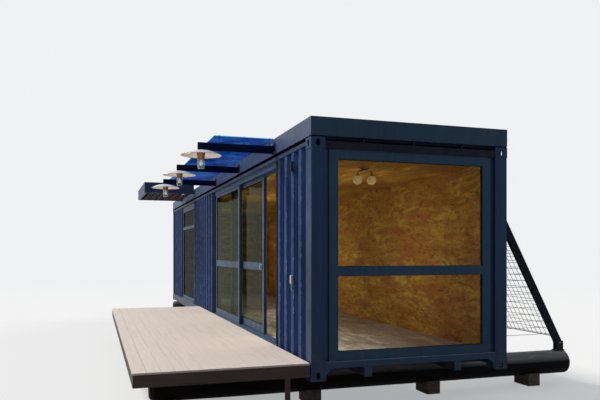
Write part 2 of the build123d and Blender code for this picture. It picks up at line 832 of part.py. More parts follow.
def make_slats():
    reach = SLAT_CANOPY_REACH - SLAT_CANOPY_EDGE
    gap = (reach - SLAT_COUNT * SLAT_WIDTH) / (SLAT_COUNT + 1)
    span = (SLAT_CANOPY_START + SLAT_CANOPY_EDGE, SLAT_CANOPY_END - SLAT_CANOPY_EDGE)
    slats = []
    for n in range(SLAT_COUNT):
        x = -reach + gap + n * (SLAT_WIDTH + gap)
        slats.append(block((x, x + SLAT_WIDTH), span, (SLAT_CANOPY_LOW, SLAT_CANOPY_LOW + SLAT_THICK)))
    return slats


def under_beams(solid):
    """One copy of a turned piece at each lamp."""
    return [Pos(-LAMP_REACH, y, 0) * solid for y in BEAM_STARTS]


def turned(wires):
    """A solid turned about z from lines in the x, z plane."""
    return revolve(Plane.XZ * make_face(wires), Axis.Z)


def make_shades():
    """Shallow dishes with a flat crown against the beam."""
    top, rim = BEAM_LOW, BEAM_LOW - SHADE_DROP
    bend = ((SHADE_CROWN_RADIUS + SHADE_RADIUS) / 2, top - SHADE_DROP * SHADE_BELLY)
    outer = ThreePointArc((SHADE_CROWN_RADIUS, top), bend, (SHADE_RADIUS, rim))
    inner = ThreePointArc(
        (SHADE_RADIUS, rim - SHADE_WALL),
        (bend[0], bend[1] - SHADE_WALL),
        (SHADE_CROWN_RADIUS, top - SHADE_WALL),
    )
    lines = Line((0, top), (SHADE_CROWN_RADIUS, top)) + outer
    lines += Line((SHADE_RADIUS, rim), (SHADE_RADIUS, rim - SHADE_WALL)) + inner
    lines += Line((SHADE_CROWN_RADIUS, top - SHADE_WALL), (0, top - SHADE_WALL))
    lines += Line((0, top - SHADE_WALL), (0, top))
    return under_beams(turned(lines))


def make_holders():
    section = [
        (0, BEAM_LOW - SHADE_WALL),
        (HOLDER_TOP_RADIUS, BEAM_LOW - SHADE_WALL),
        (HOLDER_TOP_RADIUS, HOLDER_SHOULDER),
        (HOLDER_BOTTOM_RADIUS, HOLDER_LOW),
        (0, HOLDER_LOW),
    ]
    return under_beams(turned(Polyline(*section, close=True)))


def make_jars():
    """Open glass jars that close against the holders."""
    height = HOLDER_LOW - JAR_LOW
    base = (Align.CENTER, Align.CENTER, Align.MIN)
    jar = Cylinder(JAR_RADIUS, height, align=base)
    jar = fillet(jar.edges().group_by(Axis.Z)[0], JAR_ROUND)
    inner = Pos(0, 0, JAR_WALL) * Cylinder(JAR_RADIUS - JAR_WALL, height, align=base)
    inner = fillet(inner.edges().group_by(Axis.Z)[0], JAR_ROUND - JAR_WALL)
    return under_beams(Pos(0, 0, JAR_LOW) * (jar - inner))


def make_room_light():
    """A ceiling rose with two globes on short stems."""
    base = (Align.CENTER, Align.CENTER, Align.MAX)
    light = Pos(0, 0, CEILING_UNDERSIDE) * Cylinder(ROSE_RADIUS, ROSE_HEIGHT, align=base)
    bar_z = CEILING_UNDERSIDE - ROSE_HEIGHT - STEM_RADIUS
    light += Pos(0, 0, bar_z) * Box(GLOBE_SPACING + 2 * STEM_RADIUS, 2 * STEM_RADIUS, 2 * STEM_RADIUS)
    for side in (-1, 1):
        x = side * GLOBE_SPACING / 2
        light += Pos(x, 0, bar_z) * Cylinder(STEM_RADIUS, bar_z - GLOBE_CENTRE, align=base)
        light += Pos(x, 0, GLOBE_CENTRE) * Sphere(GLOBE_RADIUS)
    return Pos(ROOM_LIGHT_X, ROOM_LIGHT_Y, 0) * light


def make_deck_boards():
    return block(
        (-DECK_REACH, -DECK_GAP),
        (DECK_START, DECK_START + DECK_LENGTH),
        (FLOOR_TOP - DECK_BOARD, FLOOR_TOP),
    )


def deck_frame_edges():
    """Outer x, first y and last y of the frame under the boards' nosing."""
    return -DECK_REACH + DECK_NOSING, DECK_START + DECK_NOSING, DECK_START + DECK_LENGTH - DECK_NOSING


def make_deck_fascia():
    """The board round the three open edges of the deck."""
    left, first, last = deck_frame_edges()
    height = (DECK_UNDERSIDE, FLOOR_TOP - DECK_BOARD)
    fascia = block((left, -DECK_GAP), (first, last), height)
    fascia -= block((left + DECK_FASCIA, -DECK_GAP), (first + DECK_FASCIA, last - DECK_FASCIA), height)
    return fascia


def make_deck_joists():
    """Joists across the deck, one of them over each pole."""
    left, first, last = deck_frame_edges()
    span = (left + DECK_FASCIA, -DECK_GAP)
    height = (DECK_UNDERSIDE, FLOOR_TOP - DECK_BOARD)
    pitch = POLE_PITCH / JOISTS_PER_BAY
    y = POLE_FIRST - pitch * int((POLE_FIRST - first - DECK_FASCIA - JOIST_WIDTH) / pitch)
    joists = []
    while y + JOIST_WIDTH / 2 < last - DECK_FASCIA:
        joists.append(block(span, (y - JOIST_WIDTH / 2, y + JOIST_WIDTH / 2), height))
        y += pitch
    return joists


def make_deck_props():
    """Slender posts from the ground to the underside of the deck's fascia and joists."""
    _, first, last = deck_frame_edges()
    props = []
    for y in (first + DECK_FASCIA / 2, last - DECK_FASCIA / 2):
        span_x = (-PROP_REACH - PROP_SIZE / 2, -PROP_REACH + PROP_SIZE / 2)
        span_y = (y - DECK_FASCIA / 2, y + DECK_FASCIA / 2)
        props.append(block(span_x, span_y, (GROUND, DECK_UNDERSIDE)))
    return props


def pole_solid(left):
    """A round pole along x with a flat planed on its top."""
    length = POLE_RIGHT - left
    log = Rot(0, 90, 0) * Cylinder(POLE_RADIUS, length, align=(Align.CENTER, Align.CENTER, Align.MIN))
    log -= block((0, length), (-POLE_RADIUS, POLE_RADIUS), (POLE_RADIUS - POLE_FLAT, POLE_RADIUS))
    return Pos(left, 0, POLE_AXIS_Z) * log


def make_poles():
    poles = []
    for n, y in enumerate(POLES):
        left = POLE_LEFT if n < DECK_POLE_COUNT else SHORT_POLE_LEFT
        poles.append(Pos(0, y, 0) * pole_solid(left))
    return poles


def make_blocks():
    """Cradle blocks on the ground under the poles."""
    low = GROUND
    high = POLE_AXIS_Z - POLE_RADIUS + BLOCK_CRADLE
    blocks = []
    for n, y in enumerate(POLES):
        places = BLOCK_PLACES if n < DECK_POLE_COUNT else SHORT_BLOCK_PLACES
        log = Pos(0, y, 0) * pole_solid(POLE_LEFT)
        for x in places:
            span_x = (x - BLOCK_LENGTH / 2, x + BLOCK_LENGTH / 2)
            span_y = (y - BLOCK_WIDTH / 2, y + BLOCK_WIDTH / 2)
            blocks.append(block(span_x, span_y, (low, high)) - log)
    return blocks


def make_packers():
    """Packers between the poles and the deck's underside."""
    packers = []
    for y in POLES[:DECK_POLE_COUNT]:
        for x in PACKER_PLACES:
            packers.append(
                block(
                    (x - PACKER_LENGTH / 2, x + PACKER_LENGTH / 2),
                    (y - PACKER_WIDTH / 2, y + PACKER_WIDTH / 2),
                    (RAIL_UNDERSIDE, DECK_UNDERSIDE),
                )
            )
    return packers


def strut_axis():
    """Foot point, unit direction and length of a strut's centre line in x, z."""
    top = FASCIA_TOP - STRUT_BELOW_FASCIA
    run = WIDTH - STRUT_INNER_FOOT
    rise = top - STRUT_CONTACT - STRUT_FOOT_Z
    edge = math.hypot(run, rise)
    dx, dz = run / edge, rise / edge
    foot_x = STRUT_INNER_FOOT + STRUT_WIDTH / 2 / dz
    return (foot_x, STRUT_FOOT_Z), (dx, dz), (top - STRUT_FOOT_Z) / dz


def strut_outline():
    """Corners of a strut, level at both ends and upright where it leans on the fascia."""
    (foot_x, foot_z), (dx, dz), length = strut_axis()
    top = foot_z + length * dz
    outer_foot = 2 * foot_x - STRUT_INNER_FOOT
    return [
        (STRUT_INNER_FOOT, foot_z),
        (WIDTH, top - STRUT_CONTACT),
        (WIDTH, top),
        (outer_foot + length * dx, top),
        (outer_foot, foot_z),
    ]


def make_struts():
    """Leaning struts, each on a short foot on its pole."""
    (foot_x, foot_z), _, _ = strut_axis()
    struts = []
    for y in POLES:
        span = (y - STRUT_THICK / 2, y + STRUT_THICK / 2)
        strut = along_y(strut_outline(), *span)
        strut += block(
            (foot_x - FOOT_SIZE / 2, foot_x + FOOT_SIZE / 2),
            (y - FOOT_SIZE / 2, y + FOOT_SIZE / 2),
            (RAIL_UNDERSIDE, foot_z),
        )
        struts.append(strut)
    return struts


def make_screen_panels():
    """A wire panel in each bay between two struts, and the wires across the near end."""
    (foot_x, foot_z), (dx, dz), length = strut_axis()
    tilt = math.degrees(math.atan2(dz, dx))
    clear = POLE_PITCH - STRUT_THICK
    rise_count = int((length - 2 * WIRE_MARGIN) // WIRE_PITCH)
    bay_count = int((clear - WIRE_PITCH) // WIRE_PITCH)
    panel = None
    for n in range(rise_count + 1):
        wire = Pos(WIRE_MARGIN + n * WIRE_PITCH, 0, 0) * Box(WIRE, clear, WIRE)
        panel = wire if panel is None else panel + wire
    mid = WIRE_MARGIN + rise_count * WIRE_PITCH / 2
    for n in range(bay_count + 1):
        y = (n - bay_count / 2) * WIRE_PITCH
        panel += Pos(mid, y, 0) * Box(rise_count * WIRE_PITCH + WIRE, WIRE, WIRE)
    panel = Pos(foot_x, 0, foot_z) * Rot(0, -tilt, 0) * panel
    panels = [Pos(0, y + POLE_PITCH / 2, 0) * panel for y in POLES[:-1]]
    return panels + make_end_wires()


def make_end_wires():
    """Level wires across the near end of the screen, from the wall to the first strut."""
    strut = make_struts()[0]
    y = POLES[0] + END_WIRE_OFFSET
    wires = []
    for n in range(END_WIRE_COUNT):
        z = END_WIRE_FIRST + n * END_WIRE_PITCH
        wire = block(
            (WIDTH - SHEET_OUT, STRUT_INNER_FOOT + WIRE),
            (y - WIRE / 2, y + WIRE / 2),
            (z - WIRE / 2, z + WIRE / 2),
        )
        wire -= strut
        wires.append(wire.solids().sort_by(Axis.X)[0])
    return wires


def fitting(middle_z, width, height, depth):
    """A small box on the middle of one outer flat of the front wall sheet."""
    pitch = FOLD_FLAT + 2 * FOLD_SLOPE + FOLD_INNER_FLAT
    y = FOLD_FIRST_FLAT + FOLD_FLAT / 2 + FITTING_FOLD * pitch
    return block(
        (SHEET_OUT - depth, SHEET_OUT),
        (y - width / 2, y + width / 2),
        (middle_z - height / 2, middle_z + height / 2),
    )


def make_vent():
    return fitting(VENT_Z, VENT_WIDTH, VENT_HEIGHT, VENT_DEPTH)


def make_socket_box():
    return fitting(SOCKET_Z, SOCKET_WIDTH, SOCKET_HEIGHT, SOCKET_DEPTH)


def save(name, shape):
    """Writes one node, moved from the container's coordinates to the part's frame."""
    pieces = shape if isinstance(shape, list) else [shape]
    solids = [solid for piece in pieces for solid in piece.solids()]
    moved = [Pos(*ORIGIN_SHIFT) * solid for solid in solids]
    node = moved[0] if len(moved) == 1 else Compound(children=moved)
    export_step(node, os.path.join("parts", name + ".step"))


NODES = {
    "corner_castings": make_castings,
    "corner_posts": make_posts,
    "side_rails": make_side_rails,
    "end_headers": make_end_headers,
    "front_sill": make_front_sill,
    "rear_sill": make_rear_sill,
    "gooseneck_tunnel": make_tunnel,
    "cross_members": make_cross_members,
    "floor": make_floor,
    "left_wall_front": lambda: side_sheet(CASTING_Y, DOOR_OUTER[0]),
    "left_wall_middle": lambda: side_sheet(DOOR_OUTER[1], REAR_OUTER[0]),
    "left_wall_rear": lambda: side_sheet(REAR_OUTER[1], LENGTH - CASTING_Y),
    "right_wall": lambda: across(side_sheet(CASTING_Y, LENGTH - CASTING_Y)),
    "back_wall": make_back_wall,
    "roof_sheet": make_roof_sheet,
    "ceiling_lining": make_ceiling,
    "left_lining": make_left_lining,
    "right_lining": make_right_lining,
    "back_lining": make_back_lining,
    "end_fascias": make_end_fascias,
    "side_fascias": make_side_fascias,
    "fascia_brackets": make_fascia_brackets,
    "roof_tray": make_tray,
    "growing_medium": make_medium,
    "front_window_frame": make_front_frame,
    "front_window_glass": make_front_glass,
    "side_door_frame": make_door_frame,
    "fixed_leaf_frame": lambda: make_leaf(*FIXED_LEAF),
    "fixed_leaf_glass": lambda: make_leaf_glass(*FIXED_LEAF),
    "sliding_leaf_frame": make_sliding_leaf,
    "sliding_leaf_glass": lambda: make_leaf_glass(*SLIDING_LEAF),
    "sliding_leaf_rollers": make_rollers,
    "door_pull": make_door_pull,
    "rear_window_frame": make_rear_frame,
    "rear_window_glass": make_rear_glass,
    "canopy_beams": make_beams,
    "canopy_panel": make_canopy_panel,
    "slat_canopy_frame": make_slat_frame,
    "slat_canopy_slats": make_slats,
    "lamp_shades": make_shades,
    "lamp_holders": make_holders,
    "lamp_jars": make_jars,
    "room_light": make_room_light,
    "deck_boards": make_deck_boards,
    "deck_fascia": make_deck_fascia,
    "deck_joists": make_deck_joists,
    "deck_props": make_deck_props,
    "deck_packers": make_packers,
    "foundation_poles": make_poles,
    "pole_blocks": make_blocks,
    "screen_struts": make_struts,
    "screen_panels": make_screen_panels,
    "vent_cover": make_vent,
    "socket_box": make_socket_box,
}

os.makedirs("parts", exist_ok=True)
for node_name, make_node in NODES.items():
    save(node_name, make_node())
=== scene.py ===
import math
import random

import bmesh
import bpy
from mathutils import Matrix, Vector, noise


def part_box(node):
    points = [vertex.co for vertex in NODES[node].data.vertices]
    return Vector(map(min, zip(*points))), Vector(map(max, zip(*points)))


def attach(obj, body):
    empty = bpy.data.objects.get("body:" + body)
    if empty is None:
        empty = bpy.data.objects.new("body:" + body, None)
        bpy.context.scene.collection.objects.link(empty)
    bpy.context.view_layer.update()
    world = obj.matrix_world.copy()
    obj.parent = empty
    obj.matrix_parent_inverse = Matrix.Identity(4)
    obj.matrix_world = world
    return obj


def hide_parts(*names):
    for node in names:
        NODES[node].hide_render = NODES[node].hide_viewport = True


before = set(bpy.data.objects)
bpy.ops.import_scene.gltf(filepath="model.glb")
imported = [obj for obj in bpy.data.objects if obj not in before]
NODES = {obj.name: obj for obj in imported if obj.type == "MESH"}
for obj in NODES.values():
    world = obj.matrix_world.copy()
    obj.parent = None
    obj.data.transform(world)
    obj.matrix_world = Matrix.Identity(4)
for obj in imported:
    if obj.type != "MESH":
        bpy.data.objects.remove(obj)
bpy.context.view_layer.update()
random.seed(40)

# The container's own coordinates start at the lowest corner of its corner castings:
# x across from the deck side, y along from the glazed end, z up. All lengths are in metres.
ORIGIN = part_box("corner_castings")[0]
UP = Vector((0, 0, 1))
OUTWARD = (-1, 0, 0)


def rgb(red, green, blue):
    """A display colour, 0 to 255, as the linear colour that a shader takes."""
    channels = [c / 255 for c in (red, green, blue)]
    linear = [c / 12.92 if c <= 0.04045 else ((c + 0.055) / 1.055) ** 2.4 for c in channels]
    return (*linear, 1.0)


# Materials


class Paint:
    """The nodes of a procedural material or world, built up by short calls."""

    def __init__(self, name, world=None):
        self.owner = world or bpy.data.materials.new(name)
        self.owner.use_nodes = True
        self.nodes = self.owner.node_tree.nodes
        self.links = self.owner.node_tree.links
        self.nodes.clear()
        self.output = self.nodes.new("ShaderNodeOutputWorld" if world else "ShaderNodeOutputMaterial")
        self.place = self.nodes.new("ShaderNodeTexCoord").outputs["Object"]

    def node(self, kind, inputs=(), **settings):
        """A node with its settings and inputs. A colour of three parts is a display colour."""
        made = self.nodes.new("ShaderNode" + kind)
        for key, value in settings.items():
            setattr(made, key, value)
        for key, value in dict(inputs).items():
            socket = made.inputs[key]
            if isinstance(value, bpy.types.NodeSocket):
                self.links.new(value, socket)
            elif socket.type == "RGBA" and len(value) == 3:
                socket.default_value = rgb(*value)
            else:
                socket.default_value = value
        return made

    def stretched(self, x, y, z):
        """The place, scaled along each axis."""
        return self.node("Mapping", {"Vector": self.place, "Scale": (x, y, z)}).outputs[0]

    def drawn_out(self, along, scale):
        """The place, for a pattern that is drawn out along one axis."""
        return self.stretched(*(scale if axis == along else 1.0 for axis in "XYZ"))

    def part(self, axis):
        """One coordinate of the place."""
        return self.node("SeparateXYZ", {"Vector": self.place}).outputs[axis]

    def facing(self):
        """The three parts of the direction that the surface faces."""
        normal = self.node("NewGeometry").outputs["Normal"]
        return self.node("SeparateXYZ", {"Vector": normal}).outputs

    def noise(self, scale, vector=None, detail=3.0, rough=0.5, bend=0.0):
        inputs = {"Vector": vector or self.place, "Scale": scale, "Detail": detail}
        inputs |= {"Roughness": rough, "Distortion": bend}
        return self.node("TexNoise", inputs).outputs["Fac"]

    def span(self, value, low, high, start=0.0, end=1.0):
        """value from low..high onto start..end, held at both."""
        inputs = {"Value": value, "From Min": low, "From Max": high, "To Min": start, "To Max": end}
        return self.node("MapRange", inputs).outputs[0]

    def maths(self, operation, first, second=0.0):
        return self.node("Math", {0: first, 1: second}, operation=operation).outputs[0]

    def times(self, first, second):
        return self.maths("MULTIPLY", first, second)

    def mix(self, share, first, second):
        return self.node("Mix", {0: share, 6: first, 7: second}, data_type="RGBA").outputs[2]

    def lay(self, under, over, value, low, high, end=1.0, start=0.0):
        """over laid on under, by a share from start to end as value goes from low to high."""
        return self.mix(self.span(value, low, high, start, end), under, over)

    def bump(self, height, distance, strength, under=None):
        inputs = {"Height": height, "Distance": distance, "Strength": strength}
        if under is not None:
            inputs["Normal"] = under
        return self.node("Bump", inputs).outputs[0]

    def grooves(self, coordinate, pitch, width, start=0.0):
        """1 within width of each multiple of pitch, else 0."""
        shifted = self.maths("ADD", coordinate, pitch * 100 - start)
        folded = self.maths("PINGPONG", shifted, pitch / 2)
        return self.span(folded, width / 2, width, 1.0, 0.0)

    def cell(self, coordinate, pitch, start=0.0):
        """The number of the board that a coordinate falls in."""
        shifted = self.maths("ADD", coordinate, -start)
        return self.maths("FLOOR", self.maths("DIVIDE", shifted, pitch))

    def tone(self, *cells):
        """A random value for each board."""
        joined = self.node("CombineXYZ", dict(zip("XYZ", cells))).outputs[0]
        return self.node("TexWhiteNoise", {"Vector": joined}).outputs["Value"]

    def shader(self, kind, **inputs):
        inputs = {key.replace("_", " "): value for key, value in inputs.items()}
        return self.node(kind, inputs).outputs[0]

    def surface(self, colour, rough, normal=None, sheen=0.5, **more):
        if normal is not None:
            more["Normal"] = normal
        more |= {"Base_Color": colour, "Roughness": rough, "Specular_IOR_Level": sheen}
        return self.shader("BsdfPrincipled", **more)

    def blend(self, share, first, second):
        return self.node("MixShader", {0: share, 1: first, 2: second}).outputs[0]

    def done(self, shader):
        self.links.new(shader, self.output.inputs["Surface"])
        return self.owner

    def gloss(self, value, smooth, rough):
        """Roughness that wanders between two values with a noise."""
        return self.span(value, 0.3, 0.7, smooth, rough)

    def coat(self, tint, gloss, relief, **more):
        """The material, from its tint, (value, smooth, rough) and (height, distance, strength)."""
        return self.done(self.surface(tint, self.gloss(*gloss), self.bump(*relief), **more))


FOLD_PITCH = 0.278
FOLD_FLAT = 0.072
FOLD_EDGE = 0.007
# Painted shade for the slopes of folded sheet, and a painted highlight along its outer bends
FOLD_SHADE = (12, 24, 54)
BEND_HIGHLIGHT = (150, 166, 196)
GRIME = (92, 84, 74)
RUST = (98, 50, 26)


def painted_steel(name, colours, sheen, rough=0.42, wear=1.0, bends=None):
    """Sprayed steel with slow waves, chalky runs, grime low down and a few rust specks.
    bends is the axis and start of a folded sheet: its slopes get painted shade, and its outward flats and
    outer bends a painted highlight."""
    p = Paint(name)
    colour, shade, chalk_and_highlight = colours
    tint = p.lay(colour, shade, p.noise(0.7, rough=0.4), 0.3, 0.7, 0.8, 0.1)
    runs = p.noise(1.0, p.stretched(16, 16, 0.7), detail=5.0, rough=0.6)
    tint = p.lay(tint, chalk_and_highlight, runs, 0.5, 0.78, 0.4 * wear)
    tint = p.lay(tint, shade, p.noise(90.0, detail=2.0), 0.4, 0.6, 0.12)
    low = p.span(p.part("Z"), 0.45, 0.95, 1.0, 0.0)
    blotch = p.noise(7.0, detail=6.0, rough=0.65)
    tint = p.mix(p.times(low, p.span(blotch, 0.42, 0.7, 0.0, 0.5 * wear)), tint, GRIME)
    specks = p.noise(26.0, detail=8.0, rough=0.7)
    tint = p.lay(tint, RUST, specks, 0.735, 0.76, 0.7 * wear)
    if bends:
        axis, start = bends
        first = p.grooves(p.part(axis), FOLD_PITCH, FOLD_EDGE, start)
        second = p.grooves(p.part(axis), FOLD_PITCH, FOLD_EDGE, start + FOLD_FLAT)
        broken = p.noise(1.0, p.stretched(30, 30, 9.0), detail=4.0, rough=0.7, bend=0.8)
        highlight_dashes = p.times(p.maths("MAXIMUM", first, second), p.span(broken, 0.52, 0.62, 0.0, 0.7))
        # Painted shade on the slopes and a painted highlight on the flats that face square out, by the way
        # each face turns; then a broken painted highlight along the outer bends
        square = p.maths("ABSOLUTE", p.facing()["Y" if axis == "X" else "X"])
        tint = p.lay(tint, FOLD_SHADE, square, 0.8, 0.96, 0.0, 0.5)
        tint = p.lay(tint, chalk_and_highlight, square, 0.8, 0.96, 0.2)
        tint = p.mix(highlight_dashes, tint, BEND_HIGHLIGHT)
    waves = p.bump(p.noise(2.4, p.drawn_out("Z", 0.45), detail=2.0), 0.010, 0.5)
    peel = (p.noise(320.0, detail=1.0), 0.0004, 0.35, waves)
    return p.coat(tint, (blotch, rough - 0.06, rough + 0.14), peel, sheen=sheen)


def galvanised(name, colour, pale, rough, metal):
    """Zinc with a faint spangle and dull drips."""
    p = Paint(name)
    spangle = p.node("TexVoronoi", {"Vector": p.place, "Scale": 70.0}).outputs["Color"]
    value = p.node("SeparateColor", {0: spangle}).outputs[0]
    tint = p.lay(colour, pale, value, 0.2, 0.9, 0.5)
    stain = p.noise(6.0, p.stretched(3, 3, 0.8), detail=5.0)
    tint = p.lay(tint, (70, 62, 52), stain, 0.5, 0.75, 0.5)
    return p.coat(tint, (stain, rough - 0.1, rough + 0.2), (value, 0.0002, 0.3), Metallic=metal)


def window_glass(name, tint, mirror, dust, index):
    """Clear sheet: seen through square on, a mirror at a slant, with a thin film of dust."""
    p = Paint(name)
    clear = p.shader("BsdfTransparent", Color=tint)
    shine = p.shader("BsdfGlossy", Color=mirror, Roughness=0.012)
    slant = p.node("Fresnel", {"IOR": index}).outputs[0]
    outside = p.maths("SUBTRACT", 1.0, p.node("NewGeometry").outputs["Backfacing"])
    pane = p.blend(p.times(slant, outside), clear, shine)
    film = p.noise(3.0, p.drawn_out("Z", 0.4), detail=6.0, rough=0.7)
    haze = p.surface((200, 200, 190), 0.9)
    return p.done(p.blend(p.span(film, 0.45, 0.8, 0.0, dust), pane, haze))


def tinted_sheet(name, colour, deep, edge, passing):
    """Coloured acrylic that lets most of the light through; its pale patches, pale edges and glowing edges
    are painted highlights.
    """
    p = Paint(name)
    cloud = p.noise(1.9, p.drawn_out("Y", 0.6), detail=4.0, rough=0.6, bend=0.6)
    tint = p.lay(deep, colour, cloud, 0.35, 0.6)
    # Pale patches of the edge colour: painted light shining through the sheet
    tint = p.lay(tint, edge, cloud, 0.5, 0.7, 0.35)
    level = p.maths("ABSOLUTE", p.facing()[2])
    # Faces that don't lie level, the sheet's edges, take the edge colour and glow: a painted highlight
    tint = p.lay(edge, tint, level, 0.2, 0.6)
    gloss = p.gloss(p.noise(9.0, detail=6.0, rough=0.7), 0.1, 0.26)
    glow = {"Emission_Color": edge, "Emission_Strength": p.span(level, 0.2, 0.6, 1.0, 0.0)}
    body = p.surface(tint, gloss, sheen=0.18, **glow)
    scattered = p.shader("BsdfTranslucent", Color=tint)
    passed = p.blend(0.5, scattered, p.shader("BsdfTransparent", Color=passing))
    shadow = p.node("LightPath").outputs["Is Shadow Ray"]
    sunlit = p.shader("BsdfTransparent", Color=(240, 244, 250))
    return p.done(p.blend(p.times(shadow, 0.98), p.blend(0.5, body, passed), sunlit))


SHEET_LENGTH = 2.44
SHEET_WIDTH = 1.2
SHEET_START = 0.62
SHEET_JOINT = 0.003


def bamboo_sheet(name, along, across, tones):
    """Strand panels: mottled gold and amber, streaked along one axis, with fine sheet joints."""
    p = Paint(name)
    gold, amber, dark, warm, fleck = tones
    place = p.drawn_out(along, 0.3)
    cloud = p.noise(3.4, place, detail=4.0, rough=0.6, bend=0.6)
    mottle = p.noise(8.5, place, detail=8.0, rough=0.72, bend=0.4)
    strands = p.noise(44.0, place, detail=6.0, rough=0.75)
    knots = p.noise(12.0, place, detail=6.0, rough=0.7, bend=1.0)
    patch = p.noise(5.0, place, detail=5.0, rough=0.65)
    chips = p.noise(110.0, place, detail=2.0)
    sheet = p.tone(p.cell(p.part(along), SHEET_LENGTH), p.cell(p.part(across), SHEET_WIDTH, SHEET_START))
    tint = p.lay(amber, gold, mottle, 0.43, 0.58)
    tint = p.lay(tint, amber, cloud, 0.4, 0.6, 0.75)
    tint = p.lay(tint, dark, strands, 0.5, 0.66, 0.7)
    tint = p.lay(tint, dark, knots, 0.53, 0.64, 0.7)
    tint = p.lay(tint, warm, patch, 0.5, 0.62, 0.5)
    tint = p.lay(tint, fleck, chips, 0.56, 0.68, 0.45)
    tint = p.lay(tint, dark, sheet, 0.0, 1.0, 0.25)
    joint = p.grooves(p.part(along), SHEET_LENGTH, SHEET_JOINT)
    joint = p.maths("MAXIMUM", joint, p.grooves(p.part(across), SHEET_WIDTH, SHEET_JOINT, SHEET_START))
    tint = p.mix(p.times(joint, 0.8), tint, (34, 18, 8))
    relief = p.maths("SUBTRACT", strands, p.times(joint, 4.0))
    return p.coat(tint, (mottle, 0.34, 0.5), (relief, 0.0012, 0.5), sheen=0.25)


def board_wood(name, along, across, pitch, tones, rough, sheen=0.3):
    """Sawn or planed boards: grain along one axis, each board in its own tone."""
    p = Paint(name)
    pale, mid, dark = tones
    place = p.drawn_out(along, 0.06)
    grain = p.noise(34.0, place, detail=6.0, rough=0.65, bend=0.4)
    tint = p.lay(pale, mid, grain, 0.35, 0.7)
    tint = p.lay(tint, dark, p.noise(9.0, place, bend=1.5), 0.5, 0.66, 0.6)
    tint = p.lay(tint, mid, p.tone(p.cell(p.part(across), pitch)), 0.0, 1.0, 0.4)
    tint = p.lay(tint, dark, p.noise(4.0, detail=5.0, rough=0.7), 0.5, 0.8, 0.35)
    return p.coat(tint, (grain, rough - 0.08, rough + 0.12), (grain, 0.0015, 0.5), sheen=sheen)


def pole_wood(name):
    """Tarred round timber: long drying cracks, a pale top that is partly weathering and partly painted
    light, and paler cut ends.
    """
    p = Paint(name)
    place = p.drawn_out("X", 0.05)
    grain = p.noise(46.0, place, detail=6.0, rough=0.7, bend=0.5)
    cracks = p.noise(17.0, place, rough=0.6, bend=1.0)
    tint = p.lay((10, 8, 8), (26, 22, 20), grain, 0.35, 0.68)
    crack = p.times(p.span(cracks, 0.47, 0.5, 1.0, 0.0), p.span(cracks, 0.44, 0.47))
    tint = p.mix(p.times(crack, 0.8), tint, (9, 7, 7))
    facing = p.facing()
    # The upward-facing top turns pale grey: partly weathering, partly painted light where the sun falls on
    # it
    weathered_and_lit_top = p.times(p.span(facing[2], 0.15, 0.6), p.span(grain, 0.3, 0.6, 0.5, 1.0))
    tint = p.mix(p.times(weathered_and_lit_top, 0.85), tint, (156, 156, 158))
    endwise = p.span(p.maths("ABSOLUTE", facing[0]), 0.8, 0.95)
    cut = p.lay((44, 34, 28), (84, 66, 52), p.noise(30.0, detail=5.0), 0.35, 0.7)
    tint = p.mix(p.times(endwise, 0.8), tint, cut)
    relief = p.maths("SUBTRACT", grain, p.times(crack, 3.0))
    return p.coat(tint, (grain, 0.62, 0.85), (relief, 0.003, 0.6), sheen=0.05)


def soil(name):
    """Crumbly dark growing medium with pale grit."""
    p = Paint(name)
    lump = p.noise(28.0, detail=7.0, rough=0.7)
    tint = p.lay((44, 33, 24), (92, 72, 54), lump, 0.35, 0.65)
    tint = p.lay(tint, (60, 58, 38), p.noise(1.3), 0.45, 0.7, 0.5)
    grit = p.node("TexVoronoi", {"Vector": p.place, "Scale": 60.0}).outputs["Distance"]
    tint = p.lay(tint, (150, 138, 120), grit, 0.1, 0.16, 0.0, 0.6)
    return p.done(p.surface(tint, 0.95, p.bump(lump, 0.012, 0.8), sheen=0.2))


def enamel(name):
    """Pressed steel with baked enamel, cool white on top; the underside is painted warmer and brighter, as
    painted light bounced up from below.
    """
    p = Paint(name)
    cloud = p.noise(14.0, detail=4.0)
    top = p.lay((206, 210, 214), (176, 182, 190), cloud, 0.4, 0.7)
    below = p.lay((220, 214, 214), (206, 200, 200), cloud, 0.4, 0.7)
    # Underside and top split by the way the face turns: the warmer, brighter underside is painted bounce
    # light
    tint = p.lay(below, top, p.facing()[2], -0.1, 0.1)
    tint = p.lay(tint, (70, 46, 34), p.noise(90.0, detail=6.0, rough=0.75), 0.74, 0.77, 0.8)
    return p.coat(tint, (cloud, 0.22, 0.36), (p.noise(12.0, detail=1.0), 0.002, 0.2))


def plain_metal(name, colour, pale, rough, metal):
    """Cast or turned metal with handling marks."""
    p = Paint(name)
    rub = p.noise(18.0, detail=6.0, rough=0.65)
    tint = p.lay(colour, pale, rub, 0.35, 0.7)
    relief = (p.noise(220.0, detail=2.0), 0.0003, 0.3)
    return p.coat(tint, (rub, rough - 0.1, rough + 0.15), relief, Metallic=metal)


def moulded(name, colour, pale, rough, sheen=0.35):
    """Moulded plastic or rubber with a fine grain and dust."""
    p = Paint(name)
    dust = p.noise(7.0, detail=6.0, rough=0.7)
    tint = p.lay(colour, pale, dust, 0.45, 0.75, 0.5)
    relief = (p.noise(150.0, detail=2.0), 0.0005, 0.3)
    return p.coat(tint, (dust, rough - 0.08, rough + 0.12), relief, sheen=sheen)


def lit_glass(name, colour, pale, strength):
    """Opal or clear glass round a lamp, glowing a little unevenly."""
    p = Paint(name)
    haze = p.noise(20.0)
    tint = p.lay(colour, pale, haze, 0.3, 0.7)
    gloss = p.gloss(haze, 0.06, 0.14)
    return p.done(p.surface(tint, gloss, Emission_Color=tint, Emission_Strength=strength))


